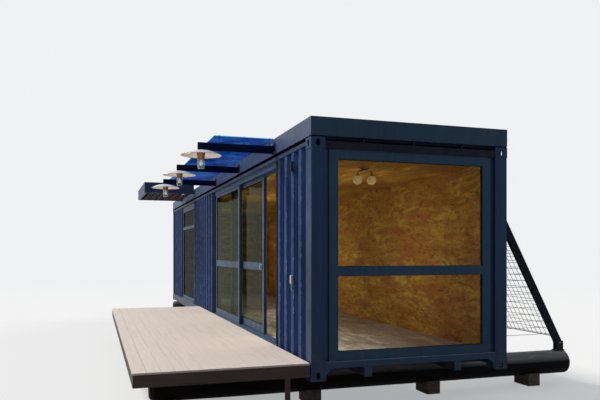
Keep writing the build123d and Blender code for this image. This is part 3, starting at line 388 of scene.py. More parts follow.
def jar_glass(name):
    """Thick pressed glass: a bright rim where it turns away, nearly clear in the middle."""
    p = Paint(name)
    ribs = p.bump(p.noise(60.0, p.drawn_out("Z", 0.2), detail=2.0), 0.003, 0.4)
    turned = p.node("LayerWeight", {"Blend": 0.35, "Normal": ribs}).outputs["Facing"]
    clear = p.shader("BsdfTransparent", Color=(250, 252, 252))
    shine = p.shader("BsdfGlossy", Color=(235, 238, 238), Roughness=0.05, Normal=ribs)
    return p.done(p.blend(p.span(turned, 0.1, 1.0, 0.05, 0.6), clear, shine))


# Where the folds of the long walls and of the back wall start
SIDE_BENDS = ("Y", ORIGIN.y + 0.365)
END_BENDS = ("X", ORIGIN.x + 1.183)
WALL_BLUES = ((34, 60, 108), (20, 38, 78), (62, 88, 138))

STEEL = painted_steel("navy_steel", ((34, 60, 94), (26, 48, 78), (66, 90, 126)), 0.14)
SIDE_FOLDS = painted_steel("side_folds", WALL_BLUES, 0.07, 0.5, 0.8, SIDE_BENDS)
END_FOLDS = painted_steel("end_folds", WALL_BLUES, 0.07, 0.5, 0.8, END_BENDS)
RAIL_STEEL = painted_steel("navy_rails", ((42, 60, 88), (30, 45, 70), (70, 88, 116)), 0.12)
FRAME_STEEL = painted_steel("navy_frame", ((42, 71, 98), (33, 59, 83), (68, 95, 122)), 0.14, wear=0.6)
# The header under the fascia is painted darker: painted shade from the fascia above it
SHADED_HEADER = painted_steel("header_painted_shade", ((32, 34, 48), (26, 26, 38), (58, 60, 72)), 0.08, 0.6)
FASCIA_STEEL = painted_steel("navy_fascia", ((40, 66, 88), (32, 54, 74), (66, 90, 110)), 0.14, wear=0.8)
SIDE_FASCIA = painted_steel("side_fascia", ((56, 72, 104), (46, 60, 90), (86, 98, 126)), 0.2, wear=0.8)
SLAT_PAINT = painted_steel("slat_frame_paint", ((46, 62, 98), (38, 52, 84), (72, 86, 118)), 0.12, wear=0.8)
UNDER_STEEL = painted_steel("navy_under", ((28, 38, 58), (20, 26, 40), (52, 60, 74)), 0.1, 0.6, 1.6)
# A pale paint for the sill's top ledge: a painted reflection of the sky
LEDGE_HIGHLIGHT = painted_steel("ledge_highlight", ((116, 134, 152), (84, 102, 122), (160, 170, 180)), 0.3)
LEAF_PAINT = painted_steel("leaf_paint", ((48, 69, 98), (39, 58, 86), (80, 99, 122)), 0.16, wear=0.35)
BEAM_PAINT = painted_steel("beam_paint", ((8, 22, 60), (6, 16, 46), (24, 42, 80)), 0.05, 0.6, 0.4)
STRUT_PAINT = painted_steel("strut_paint", ((20, 26, 42), (14, 18, 30), (44, 52, 66)), 0.08, 0.6, 0.6)
WIRE = galvanised("wire_zinc", (116, 118, 118), (150, 152, 150), 0.45, 0.6)
BOLT = galvanised("bolt_zinc", (96, 100, 108), (140, 144, 150), 0.4, 0.8)
GLASS = window_glass("window_glass", (246, 248, 242), (128, 134, 138), 0.008, 1.2)
SIDE_GLASS = window_glass("side_glass", (212, 224, 212), (118, 124, 108), 0.02, 1.3)
REAR_GLASS = window_glass("rear_glass", (196, 210, 204), (84, 92, 84), 0.02, 1.3)

WALL_TONES = ((214, 178, 74), (168, 106, 42), (78, 40, 12), (150, 76, 30), (226, 182, 92))
TOP_TONES = ((222, 190, 84), (150, 94, 36), (62, 32, 8), (136, 70, 26), (226, 184, 92))
FLOOR_TONES = ((212, 206, 206), (152, 138, 132), (84, 68, 62), (140, 108, 94), (222, 214, 210))
BAMBOO_WALL = bamboo_sheet("bamboo_wall", "Y", "Z", WALL_TONES)
BAMBOO_END = bamboo_sheet("bamboo_end", "X", "Z", WALL_TONES)
BAMBOO_TOP = bamboo_sheet("bamboo_ceiling", "Y", "X", TOP_TONES)
FLOOR = bamboo_sheet("floor_boards", "Y", "X", FLOOR_TONES)

TIMBER = board_wood("timber", "Y", "X", 0.3, ((112, 90, 68), (88, 68, 50), (58, 44, 34)), 0.8)
BLOCK_WOOD = board_wood("block_wood", "Y", "X", 0.3, ((116, 100, 86), (90, 77, 66), (58, 49, 44)), 0.85)
SLAT_WOOD = board_wood("slat_wood", "Y", "X", 0.15, ((58, 36, 30), (42, 24, 21), (26, 16, 15)), 0.7, 0.05)
DECK = board_wood("deck_grey", "Y", "X", 0.1395, ((192, 180, 171), (187, 175, 166), (178, 166, 157)), 0.6)
# Dark timber for the deck's fascia, and for the props under the deck, where it stands as painted shade
DECK_DARK = board_wood("deck_dark", "X", "Z", 0.2, ((60, 48, 45), (48, 38, 36), (34, 27, 26)), 0.7)
POLE = pole_wood("pole_wood")
MEDIUM = soil("growing_medium")
# The third colour is the painted highlight on the sheet's edges and patches, and the colour of their glow
BLUE = tinted_sheet("canopy_blue", (4, 88, 180), (2, 46, 118), (104, 196, 240), (48, 116, 190))
ENAMEL = enamel("shade_enamel")
BRONZE = plain_metal("holder_bronze", (122, 88, 54), (164, 126, 84), 0.45, 0.5)
BRASS = plain_metal("light_brass", (96, 80, 52), (140, 120, 82), 0.35, 0.8)
JAR = jar_glass("jar_glass")
BULB = lit_glass("bulb_glass", (232, 230, 236), (246, 244, 240), 0.22)
GLOBE = lit_glass("globe_glass", (196, 160, 108), (222, 196, 146), 0.26)
RUBBER = moulded("gasket_rubber", (15, 15, 18), (32, 32, 34), 0.75, 0.06)
# Matte near-black, for the strips that stand as painted shade in the gap under the fascia
GAP_SHADE = moulded("gap_shade", (7, 7, 9), (14, 14, 16), 0.85, 0.0)
PLASTIC = moulded("roller_plastic", (62, 62, 64), (90, 90, 88), 0.45)
FITTING = moulded("fitting_grey", (126, 134, 150), (150, 154, 162), 0.45)
SOCKET_GREY = moulded("socket_grey", (160, 166, 172), (136, 138, 138), 0.5)

FINISHES = {
    STEEL: "corner_castings corner_posts",
    RAIL_STEEL: "side_rails rear_sill",
    SIDE_FOLDS: "left_wall_front left_wall_middle left_wall_rear right_wall",
    END_FOLDS: "back_wall",
    FRAME_STEEL: "front_sill front_window_frame side_door_frame rear_window_frame",
    SHADED_HEADER: "end_headers",
    FASCIA_STEEL: "end_fascias",
    SLAT_PAINT: "slat_canopy_frame",
    SIDE_FASCIA: "side_fascias",
    UNDER_STEEL: "gooseneck_tunnel cross_members roof_sheet roof_tray fascia_brackets",
    LEAF_PAINT: "fixed_leaf_frame sliding_leaf_frame",
    BEAM_PAINT: "canopy_beams",
    STRUT_PAINT: "screen_struts",
    GLASS: "front_window_glass",
    SIDE_GLASS: "fixed_leaf_glass sliding_leaf_glass",
    REAR_GLASS: "rear_window_glass",
    BAMBOO_WALL: "left_lining right_lining",
    BAMBOO_END: "back_lining",
    BAMBOO_TOP: "ceiling_lining",
    FLOOR: "floor",
    SLAT_WOOD: "slat_canopy_slats",
    DECK_DARK: "deck_fascia deck_props",
    TIMBER: "deck_joists deck_packers",
    BLOCK_WOOD: "pole_blocks",
    BLUE: "canopy_panel",
    ENAMEL: "lamp_shades",
    BRONZE: "lamp_holders",
    JAR: "lamp_jars",
    PLASTIC: "sliding_leaf_rollers",
    FITTING: "door_pull",
    GLOBE: "room_light",
    SOCKET_GREY: "vent_cover socket_box",
}
for finish, names in FINISHES.items():
    for node_name in names.split():
        materials = NODES[node_name].data.materials
        materials.clear()
        materials.append(finish)


# Shapes


def add(name, data):
    """A new object in the scene."""
    made = bpy.data.objects.new(name, data)
    bpy.context.scene.collection.objects.link(made)
    return made


def circle(centre, side, up, radius, sides):
    """Points round a centre."""
    turns = [2 * math.pi * k / sides for k in range(sides)]
    return [centre + (side * math.cos(turn) + up * math.sin(turn)) * radius for turn in turns]


# A bolt's washer as (share of the head's width, height), and its hexagon head
WASHER = ((0.85, 0.0), (0.85, 0.0016), (0.8, 0.002))
WASHER_TOP = 0.002
HEX_CORNER = 0.5774
HEX_CHAMFER = 0.0012
HEX_TOP = 0.86


class Shape:
    """A mesh in the shared frame, built up from bars, tubes and turned forms."""

    def __init__(self):
        self.bm = bmesh.new()

    def bar(self, low, high):
        low, high = Vector(low), Vector(high)
        matrix = Matrix.Translation((low + high) / 2) @ Matrix.Diagonal((*(high - low), 1.0))
        bmesh.ops.create_cube(self.bm, size=1.0, matrix=matrix)

    def ring(self, low, high, axis, width):
        """Four bars round the inside of a box, square to axis."""
        first, second = [n for n in range(3) if n != axis]
        for side in (0, 1):
            for across, trimmed in ((second, None), (first, second)):
                a, b = Vector(low), Vector(high)
                if side:
                    a[across] = b[across] - width
                else:
                    b[across] = a[across] + width
                if trimmed is not None:
                    a[trimmed] += width
                    b[trimmed] -= width
                self.bar(a, b)

    def bevelled(self, width, segments=1):
        shape = {"offset": width, "segments": segments, "profile": 0.6, "clamp_overlap": True}
        bmesh.ops.bevel(self.bm, geom=self.bm.edges[:], affect="EDGES", **shape)

    def loops(self, rings, closed=True):
        """Skins a list of rings of points, with flat ends if closed."""
        made = [[self.bm.verts.new(point) for point in ring] for ring in rings]
        for one, two in zip(made, made[1:]):
            for n in range(len(one)):
                m = (n + 1) % len(one)
                self.bm.faces.new((one[n], one[m], two[m], two[n]))
        if closed:
            self.bm.faces.new(reversed(made[0]))
            self.bm.faces.new(made[-1])

    def tube(self, points, radius, sides):
        """A round bar through points, with its corners mitred."""
        points = [Vector(p) for p in points]
        rings = []
        side = None
        for n, point in enumerate(points):
            before = (point - points[n - 1]).normalized() if n else None
            after = (points[n + 1] - point).normalized() if n + 1 < len(points) else None
            heading = ((before or after) + (after or before)).normalized()
            side = side or heading.orthogonal()
            side = (side - heading * side.dot(heading)).normalized()
            stretch = 1.0
            if before and after:
                stretch = 1 / max(0.3, math.cos(before.angle(after) / 2))
            rings.append(circle(point, side, heading.cross(side), radius * stretch, sides))
        self.loops(rings)

    def lathe(self, profile, base, axis=UP, sides=32, closed=True):
        """A turned form: profile is (radius, height) along axis from base."""
        side, up, heading = UP.rotation_difference(Vector(axis)).to_matrix().col
        rings = []
        for radius, height in profile:
            rings.append(circle(Vector(base) + heading * height, side, up, radius, sides))
        self.loops(rings, closed)

    def hoop(self, profile, base, sides):
        """A ring with a closed profile of (radius, height) points."""
        before = len(self.bm.verts)
        self.lathe([*profile, profile[0]], base, sides=sides, closed=False)
        made = list(self.bm.verts)[before:]
        bmesh.ops.remove_doubles(self.bm, verts=made, dist=1e-6)

    def bolt(self, place, axis, across, high=0.008):
        """A hexagon head on its washer."""
        self.lathe([(across * share, height) for share, height in WASHER], place, axis, 16)
        corner = across * HEX_CORNER
        head = [(corner, WASHER_TOP), (corner, high - HEX_CHAMFER), (corner * HEX_TOP, high)]
        self.lathe(head, place, axis, 6)

    def done(self, name, finish, body="cabin", slot=None, smooth=None, replaces=()):
        """Makes the piece: smooth is the angle below which its edges are shaded smooth."""
        bmesh.ops.recalc_face_normals(self.bm, faces=self.bm.faces[:])
        mesh = bpy.data.meshes.new(name)
        self.bm.to_mesh(mesh)
        self.bm.free()
        mesh.materials.append(finish)
        if smooth is not None:
            mesh.shade_smooth()
            mesh.set_sharp_from_angle(angle=math.radians(smooth))
        piece = add(name, mesh)
        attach(piece, body)
        if replaces:
            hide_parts(*replaces)


WELD_PITCH = 0.014
WELD_RIPPLE = 0.72
WELD_SPREAD = (0.9, 1.1)
WELD_TIP = 0.4
# A screw's pan head as (share of its radius, height)
PAN_HEAD = ((1.0, 0.0), (1.0, 0.001), (0.6, 0.0022))


def weld(shape, start, end, width=0.007):
    """A rippled bead from start to end."""
    start, end = Vector(start), Vector(end)
    count = max(2, int((end - start).length / WELD_PITCH))
    heading = (end - start).normalized()
    side = heading.orthogonal().normalized()
    rings = []
    for n in range(count + 1):
        swell = (1.0 if n % 2 else WELD_RIPPLE) * random.uniform(*WELD_SPREAD) * width / 2
        if n in (0, count):
            swell *= WELD_TIP
        centre = start + heading * (end - start).length * n / count
        rings.append(circle(centre, side, heading.cross(side), swell, 5))
    shape.loops(rings)


def screw_row(shape, start, end, normal, pitch=0.3, radius=0.0045):
    """Pan heads spaced evenly from start to end."""
    start, end = Vector(start), Vector(end)
    count = max(1, round((end - start).length / pitch))
    head = [(radius * share, height) for share, height in PAN_HEAD]
    for n in range(count + 1):
        shape.lathe(head, start.lerp(end, n / count), normal, 10)


def pieces(node):
    """The lowest and highest corner of each separate solid of a node, from the front on."""
    bm = bmesh.new()
    bm.from_mesh(NODES[node].data)
    bmesh.ops.remove_doubles(bm, verts=bm.verts[:], dist=1e-5)
    waiting = set(bm.verts)
    found = []
    while waiting:
        island = [waiting.pop()]
        for vertex in island:
            for edge in vertex.link_edges:
                other = edge.other_vert(vertex)
                if other in waiting:
                    waiting.remove(other)
                    island.append(other)
        low = Vector([min(v.co[n] for v in island) for n in range(3)])
        high = Vector([max(v.co[n] for v in island) for n in range(3)])
        found.append((low, high))
    bm.free()
    return sorted(found, key=lambda pair: [round(pair[0][n], 3) for n in (1, 0, 2)])


# The deck boards, in place of the deck's single plate

BOARD_GAP = 0.003
BOARD_COUNT = 13
BOARD_LENGTHS = (3.6, 2.4, 3.0)
SHORTEST_BOARD = 0.6
JOIST_PITCH = 0.52
JOIST_WIDTH = 0.045
DECK_SCREW = [(0.0042, 0.0), (0.0042, 0.0005), (0.0030, 0.0007)]
SCREW_SINK = 0.0008
SCREW_SHARES = (0.25, 0.75)


def make_deck():
    low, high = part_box("deck_boards")
    joist_low, joist_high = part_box("deck_joists")
    pitch = (high.x - low.x + BOARD_GAP) / BOARD_COUNT
    boards, screws = Shape(), Shape()
    for n in range(BOARD_COUNT):
        x = low.x + n * pitch
        y = low.y
        length = BOARD_LENGTHS[n % len(BOARD_LENGTHS)]
        while y < high.y:
            end = min(high.y, y + length)
            if high.y - end < SHORTEST_BOARD:
                end = high.y
            boards.bar((x, y, low.z), (x + pitch - BOARD_GAP, end - BOARD_GAP * (end < high.y), high.z))
            y = end
            length = BOARD_LENGTHS[0]
        y = joist_high.y - JOIST_WIDTH / 2
        while y > joist_low.y:
            for share in SCREW_SHARES:
                place = (x + (pitch - BOARD_GAP) * share, y, high.z - SCREW_SINK)
                screws.lathe(DECK_SCREW, place, sides=8)
            y -= JOIST_PITCH
    boards.bevelled(0.0018)
    boards.done("deck_planks", DECK, slot="deck_grey", replaces=["deck_boards"])
    screws.done("deck_screws", BOLT, slot="galvanised")


# Round poles, in place of the plain ones

POLE_RINGS = 90
POLE_SIDES = 44
POLE_ROUND = 0.045
POLE_RADIUS = 0.160
FIRST_POLE = 0.9
POLE_PITCH = 2.6
POLE_SKIN = 0.0035
END_CROWDING = 0.35
LUMP_DEPTH = 0.0028
FLUTE_DEPTH = 0.0016


def make_poles():
    low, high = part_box("foundation_poles")
    lefts = {}
    for vertex in NODES["foundation_poles"].data.vertices:
        key = round((vertex.co.y - ORIGIN.y - FIRST_POLE) / POLE_PITCH)
        lefts[key] = min(lefts.get(key, high.x), vertex.co.x)
    poles = Shape()
    for key, left in sorted(lefts.items()):
        y = ORIGIN.y + FIRST_POLE + POLE_PITCH * key
        rings = []
        for n in range(POLE_RINGS + 1):
            share = n / POLE_RINGS
            eased = 0.5 - 0.5 * math.cos(math.pi * share)
            x = left + (high.x - left) * (END_CROWDING * eased + (1 - END_CROWDING) * share)
            short = POLE_ROUND - min(x - left, high.x - x, POLE_ROUND)
            inset = POLE_ROUND - math.sqrt(max(0.0, POLE_ROUND**2 - short**2))
            ring = []
            for k in range(POLE_SIDES):
                turn = 2 * math.pi * k / POLE_SIDES
                around = Vector((math.cos(turn), math.sin(turn)))
                lump = noise.noise((x * 1.3, around.x * 2 + key * 7, around.y * 2))
                flute = noise.noise((x * 0.35, turn * 5.0, key * 3.1))
                r = POLE_RADIUS - inset - POLE_SKIN - LUMP_DEPTH * lump - FLUTE_DEPTH * flute
                z = low.z + POLE_RADIUS + r * around.y
                ring.append((x, y + r * around.x, min(z, high.z)))
            rings.append(ring)
        poles.loops(rings)
    poles.done("tarred_poles", POLE, slot="pole_wood", smooth=40, replaces=["foundation_poles"])


# Planting layer on the roof

SOIL_STEP = 0.055
SOIL_DROP = 0.022
CLOD_COUNT = 700
CLOD_SIZES = (0.008, 0.026)
CLOD_STRETCH = (0.6, 1.2)
CLOD_HEIGHT = 0.6
CLOD_EDGE = 0.04


def make_medium():
    low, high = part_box("growing_medium")
    bed = Shape()
    bm = bed.bm
    nx = int((high.x - low.x) / SOIL_STEP)
    ny = int((high.y - low.y) / SOIL_STEP)
    grid = []
    for i in range(nx + 1):
        row = []
        for j in range(ny + 1):
            x = low.x + (high.x - low.x) * i / nx
            y = low.y + (high.y - low.y) * j / ny
            lump = noise.noise((x * 2.1, y * 2.1, 0.0)) + 0.6 * noise.noise((x * 9, y * 9, 3.0))
            fine = noise.noise((x * 31, y * 31, 8.0))
            z = high.z - SOIL_DROP * (0.5 - 0.3 * lump - 0.15 * fine)
            row.append(bm.verts.new((x, y, min(z, high.z))))
        grid.append(row)
    for i in range(nx):
        for j in range(ny):
            bm.faces.new((grid[i][j], grid[i + 1][j], grid[i + 1][j + 1], grid[i][j + 1]))
    edges = [e for e in bm.edges if e.is_boundary]
    skirt = bmesh.ops.extrude_edge_only(bm, edges=edges)["geom"]
    for v in skirt:
        if isinstance(v, bmesh.types.BMVert):
            v.co.z = low.z
    bottom = [e for e in bm.edges if e.is_boundary]
    bmesh.ops.contextual_create(bm, geom=bottom)
    bed.done("soil_bed", MEDIUM, slot="growing_medium", smooth=60, replaces=["growing_medium"])
    clods = Shape()
    for _ in range(CLOD_COUNT):
        size = random.uniform(*CLOD_SIZES)
        x = random.uniform(low.x + CLOD_EDGE, high.x - CLOD_EDGE)
        y = random.uniform(low.y + CLOD_EDGE, high.y - CLOD_EDGE)
        place = Matrix.Translation((x, y, high.z - SOIL_DROP * 0.5 + size * 0.2))
        wide, long = random.uniform(*CLOD_STRETCH), random.uniform(*CLOD_STRETCH)
        stretch = Matrix.Diagonal((wide, long, CLOD_HEIGHT, 1.0))
        spin = Matrix.Rotation(random.uniform(0, 6.28), 4, "Z")
        bmesh.ops.create_icosphere(clods.bm, subdivisions=1, radius=size, matrix=place @ spin @ stretch)
    clods.done("soil_clods", MEDIUM, slot="growing_medium", smooth=30)


# The leaning screen's wire, in place of its few bars, and the shoes of its struts

WIRE_RADIUS = 0.0035
EDGE_ROD = 0.006
SCREEN_PITCH = 0.095
SCREEN_MARGIN = 0.13
WIRE_PAST = 0.02
END_PITCH = 0.0925
END_BOTTOM = 0.243
END_TOP = 2.47
STRUT_FOOT_Z = 0.110
STRUT_RISE = 1.8366
STRUT_HALF = 0.05
SHOE_SIZE = (0.075, 0.048, 0.008)
CHEEK_REACH = 0.058
CHEEK_FACES = (0.026, 0.034)
CHEEK_TOP = 0.035
CHEEK_BOLT = 0.018
CHEEK_BOLT_UP = 0.012
SHOE_BOLT = 0.016
SHOE_BOLT_X = 0.062
SHOE_BOLT_Y = 0.03
END_CLEAR = 0.005
END_LAP = 0.004


def make_screen():
    struts = pieces("screen_struts")
    slope = Vector((-1, 0, STRUT_RISE)).normalized()
    behind = Vector((slope.z, 0, -slope.x)) * -2 * WIRE_RADIUS
    inner_high = struts[0][1]
    half_foot = STRUT_HALF / slope.z
    foot = Vector((inner_high.x - half_foot, 0, ORIGIN.z + STRUT_FOOT_Z))
    length = (inner_high.z - foot.z) / slope.z
    rows = int((length - 2 * SCREEN_MARGIN) / SCREEN_PITCH)
    ends = (SCREEN_MARGIN - WIRE_PAST, SCREEN_MARGIN + rows * SCREEN_PITCH + WIRE_PAST)
    mesh, rods = Shape(), Shape()
    for near, far in zip(struts, struts[1:]):
        y0, y1 = near[1].y, far[0].y
        for n in range(rows + 1):
            x, _, z = foot + slope * (SCREEN_MARGIN + n * SCREEN_PITCH)
            mesh.tube([(x, y0, z), (x, y1, z)], WIRE_RADIUS, 6)
        columns = int((y1 - y0) / SCREEN_PITCH)
        first = (y0 + y1) / 2 - columns * SCREEN_PITCH / 2
        base, top = (foot + slope * reach + behind for reach in ends)
        for n in range(columns + 1):
            y = first + n * SCREEN_PITCH
            mesh.tube([(base.x, y, base.z), (top.x, y, top.z)], WIRE_RADIUS, 6)
        for reach in ends:
            x, _, z = foot + slope * reach
            rods.tube([(x, y0, z), (x, y1, z)], EDGE_ROD, 8)
    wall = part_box("screen_panels")[0].x
    y = inner_high.y - END_CLEAR
    z = ORIGIN.z + END_BOTTOM
    while z < ORIGIN.z + END_TOP:
        end = foot.x - half_foot - (z - foot.z) / STRUT_RISE + END_LAP
        mesh.tube([(wall, y, z), (end, y, z)], WIRE_RADIUS, 6)
        z += END_PITCH
    mesh.done("screen_mesh", WIRE, slot="wire", smooth=50, replaces=["screen_panels"])
    rods.done("screen_edge_rods", WIRE, slot="wire", smooth=50)
    plates, bolts = Shape(), Shape()
    half_x, half_y, thick = SHOE_SIZE
    for low, high in struts:
        y = (low.y + high.y) / 2
        top = low.z + thick
        plates.bar((foot.x - half_x, y - half_y, low.z), (foot.x + half_x, y + half_y, top))
        for side in (-1, 1):
            y0, y1 = sorted(y + side * face for face in CHEEK_FACES)
            plates.bar((foot.x - CHEEK_REACH, y0, top), (foot.x + CHEEK_REACH, y1, foot.z + CHEEK_TOP))
        for dx in (-SHOE_BOLT_X, SHOE_BOLT_X):
            for dy in (-SHOE_BOLT_Y, SHOE_BOLT_Y):
                bolts.bolt((foot.x + dx, y + dy, top), UP, SHOE_BOLT)
        for side in (-1, 1):
            place = (foot.x, y + side * CHEEK_FACES[1], foot.z + CHEEK_BOLT_UP)
            bolts.bolt(place, (0, side, 0), CHEEK_BOLT)
    plates.bevelled(0.0015)
    plates.done("strut_shoes", STRUT_PAINT, slot="navy_steel")
    bolts.done("strut_bolts", BOLT, slot="galvanised")


# Glazing: a gasket and a bead on both sides of every pane

BEAD = 0.010
WINDOW_BEAD = 0.005
GASKET_SHOWS = 0.003
GASKET_THICK = 0.002
FACE_STEP = 0.001


def glaze(panes_node, frame_node, axis, paint, body="cabin", bead=BEAD):
    faces = [corner[axis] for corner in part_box(frame_node)]
    beads, gaskets = Shape(), Shape()
    for low, high in pieces(panes_node):
        for side, sign in ((0, -1), (1, 1)):
            pane_face = (low, high)[side][axis]
            seat = pane_face + sign * GASKET_THICK
            reach = faces[side] - sign * FACE_STEP
            for shape, span, width in (
                (gaskets, (pane_face, seat), bead + GASKET_SHOWS),
                (beads, (seat, reach), bead),
            ):
                a, b = low.copy(), high.copy()
                a[axis], b[axis] = min(span), max(span)
                shape.ring(a, b, axis, width)
    beads.bevelled(0.0012)
    beads.done(panes_node + "_beads", paint, body)
    gaskets.done(panes_node + "_gaskets", RUBBER, body, slot="roller_plastic")


# Seals, screws and the inside handle of the sliding door, and dark strips as painted shade in the door
# jambs

LEAF_SEAL = 0.002
# Depths in the leaf between which its front and its rear seal lie
SEAL_DEPTHS = ((0.001, 0.018), (0.020, 0.036))
SEAL_FOOT = 0.02
SEAL_HEAD = 0.05
PULL_PLATE = 0.006
PULL_GRIP = 0.022
GRIP_INSET = Vector((0, 0.02, 0.022))
PULL_SCREW = 0.011
POST_WIDTH = 0.09
JAMB_STRIP = 0.004
JAMB_EDGE = 0.006
MEETING_SEAL = (0.012, 0.024)
SCREW_END = 0.1
FRAME_SCREW_PITCH = 0.45
SCREW_UP = 0.006
SCREW_DOWN = 0.035
SCREW_IN = 0.03
JAMB_STRIP_GAP = 0.001
SILL_IN = 0.004
SILL_BELOW = 0.027
SILL_ABOVE = 0.002


def make_door_details():
    low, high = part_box("sliding_leaf_frame")
    seals = Shape()
    for (near, far), y in zip(SEAL_DEPTHS, (low.y - LEAF_SEAL, high.y)):
        foot = (low.x + near, y, low.z + SEAL_FOOT)
        seals.bar(foot, (low.x + far, y + LEAF_SEAL, high.z - SEAL_HEAD))
    seals.done("leaf_edge_seals", RUBBER, "sliding_leaf", slot="roller_plastic")
    pull_low, pull_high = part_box("door_pull")
    pull_low.x, pull_high.x = high.x, high.x + PULL_PLATE
    handle = Shape()
    handle.bar(pull_low, pull_high)
    grip_low, grip_high = pull_low + GRIP_INSET, pull_high - GRIP_INSET
    grip_low.x, grip_high.x = high.x + PULL_PLATE, high.x + PULL_GRIP
    handle.bar(grip_low, grip_high)
    handle.bevelled(0.003, 2)
    handle.done("inner_pull", FITTING, "sliding_leaf", slot="fitting_grey")
    screws = Shape()
    for y in (pull_low.y + PULL_SCREW, pull_high.y - PULL_SCREW):
        for z in (pull_low.z + PULL_SCREW, pull_high.z - PULL_SCREW):
            place = (low.x - PULL_PLATE, y, z)
            screw_row(screws, place, place, OUTWARD, radius=0.004)
    screws.done("leaf_screws", BOLT, "sliding_leaf", slot="galvanised")


def make_opening_details():
    low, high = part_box("side_door_frame")
    door_low, door_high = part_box("fixed_leaf_frame")
    posts = (low.y + POST_WIDTH, high.y - POST_WIDTH)
    dark_strips = Shape()
    # Dark strips down both jambs of the opening: painted shade in the jambs; the last bar is the seal
    # where the leaves meet
    for y0, y1 in ((low.y + JAMB_EDGE, posts[0] - JAMB_STRIP_GAP), (posts[1] + JAMB_STRIP_GAP, high.y - JAMB_EDGE)):
        dark_strips.bar((low.x - JAMB_STRIP, y0, low.z + JAMB_STRIP), (low.x, y1, high.z - JAMB_STRIP))
    y0, y1 = (door_low.y + step for step in MEETING_SEAL)
    dark_strips.bar((door_high.x, y0, door_low.z), (door_high.x + JAMB_EDGE, y1, door_high.z))
    dark_strips.done("jamb_shade_and_meeting_seal", RUBBER, slot="roller_plastic")
    heads = Shape()
    for z in (low.z + SCREW_UP, high.z - SCREW_DOWN):
        start, end = (low.x, posts[0] + SCREW_END, z), (low.x, posts[1] - SCREW_END, z)
        screw_row(heads, start, end, OUTWARD, FRAME_SCREW_PITCH)
    low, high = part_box("rear_window_frame")
    for y in (low.y + SCREW_IN, high.y - SCREW_IN):
        start, end = (low.x, y, low.z + SCREW_END), (low.x, y, high.z - SCREW_END)
        screw_row(heads, start, end, OUTWARD, FRAME_SCREW_PITCH)
    floor_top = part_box("floor")[1].z
    sills = Shape()
    for node in ("side_door_frame", "rear_window_frame"):
        low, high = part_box(node)
        foot = (ORIGIN.x + SILL_IN, low.y, floor_top - SILL_BELOW)
        sills.bar(foot, (low.x, high.y, floor_top + SILL_ABOVE))
    sills.bevelled(0.002)
    sills.done("sill_plates", FRAME_STEEL, slot="aluminium_frame")
    heads.done("frame_screws", BOLT, slot="galvanised")


# Near-black strips as painted shade in the gap under the fascia, joints of its sections and welds of the
# corner frame

GAP_STRIP_PROUD = 0.0035
GAP_STRIP_LIP = 0.014
GAP_STRIP_INSET = 0.004
GAP_STRIP_SHORT = 0.001
GAP_STRIP_DEEP = 0.010
NEAR_TOP = 0.1
JOINT_COUNT = 5
JOINT_START = 0.553
JOINT_PITCH = 2.44
JOINT_HALF = 0.0015
JOINT_PROUD = 0.0005
JOINT_SUNK = 0.001
JOINT_END = 0.002


def make_gap_shade():
    # Near-black strips fill the gap under the fascia and over the top castings: painted shade
    low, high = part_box("side_rails")
    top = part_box("side_fascias")[0].z - GAP_STRIP_SHORT
    dark_strips = Shape()
    for edge, inward in ((low.x, 1), (high.x, -1)):
        outside = edge - inward * GAP_STRIP_PROUD
        inside = edge + inward * GAP_STRIP_DEEP
        for reach, z0, z1 in ((edge, high.z - GAP_STRIP_LIP, high.z), (inside, high.z, top)):
            dark_strips.bar((min(outside, reach), low.y, z0), (max(outside, reach), high.y, z1))
    for low, high in pieces("corner_castings"):
        if high.z < top - NEAR_TOP:
            continue
        strips = []
        for near, start, end in ((low.x < ORIGIN.x + 1, low.x, high.x), (low.y < 0, low.y, high.y)):
            strip = (start + GAP_STRIP_INSET, start + GAP_STRIP_LIP) if near else (end - GAP_STRIP_LIP, end - GAP_STRIP_INSET)
            strips.append(strip)
        (x0, x1), (y0, y1) = strips
        dark_strips.bar((x0, low.y + GAP_STRIP_INSET, high.z), (x1, high.y, top))
        dark_strips.bar((low.x + GAP_STRIP_LIP, y0, high.z), (high.x - GAP_STRIP_LIP, y1, top))
    dark_strips.done("gap_shade_strips", GAP_SHADE, slot="roller_plastic")


def make_fascia_joints():
    low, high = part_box("side_fascias")
    joints = Shape()
    for n in range(JOINT_COUNT):
        y = ORIGIN.y + JOINT_START + n * JOINT_PITCH
        left = (low.x - JOINT_PROUD, low.x + JOINT_SUNK)
        right = (high.x - JOINT_SUNK, high.x + JOINT_PROUD)
        for x0, x1 in (left, right):
            foot = (x0, y - JOINT_HALF, low.z + JOINT_END)
            joints.bar(foot, (x1, y + JOINT_HALF, high.z - JOINT_END))
    joints.done("fascia_joints", RUBBER, slot="roller_plastic")


WELD_END = 0.004
ARCH_TOP = 0.12
WINDOW_WELD = 0.005
WINDOW_FACE = 0.024
WINDOW_POST = 0.052
WINDOW_END = 0.01
WINDOW_FOOT = 0.001
SILL_WELD = 0.006
SILL_FACE = 0.002


def make_welds():
    beads = Shape()
    for low, high in pieces("corner_posts"):
        x = low.x if low.x < ORIGIN.x + 1 else high.x
        y = low.y if low.y < 0 else high.y
        for z in (low.z, high.z):
            weld(beads, (x, low.y + WELD_END, z), (x, high.y - WELD_END, z))
            weld(beads, (low.x + WELD_END, y, z), (high.x - WELD_END, y, z))
    low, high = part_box("front_sill")
    for x in (low.x, high.x):
        y = low.y + SILL_FACE
        weld(beads, (x, y, low.z + ARCH_TOP), (x, y, high.z), SILL_WELD)
    low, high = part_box("front_window_frame")
    y = low.y + WINDOW_FACE
    for x in (low.x + WINDOW_POST, high.x - WINDOW_POST):
        weld(beads, (x, y, low.z + WINDOW_END), (x, y, high.z - WINDOW_END), WINDOW_WELD)
    y = low.y + WINDOW_FOOT
    weld(beads, (low.x, y, low.z), (high.x, y, low.z), WINDOW_WELD)
    beads.done("weld_beads", STEEL, slot="navy_steel", smooth=60)


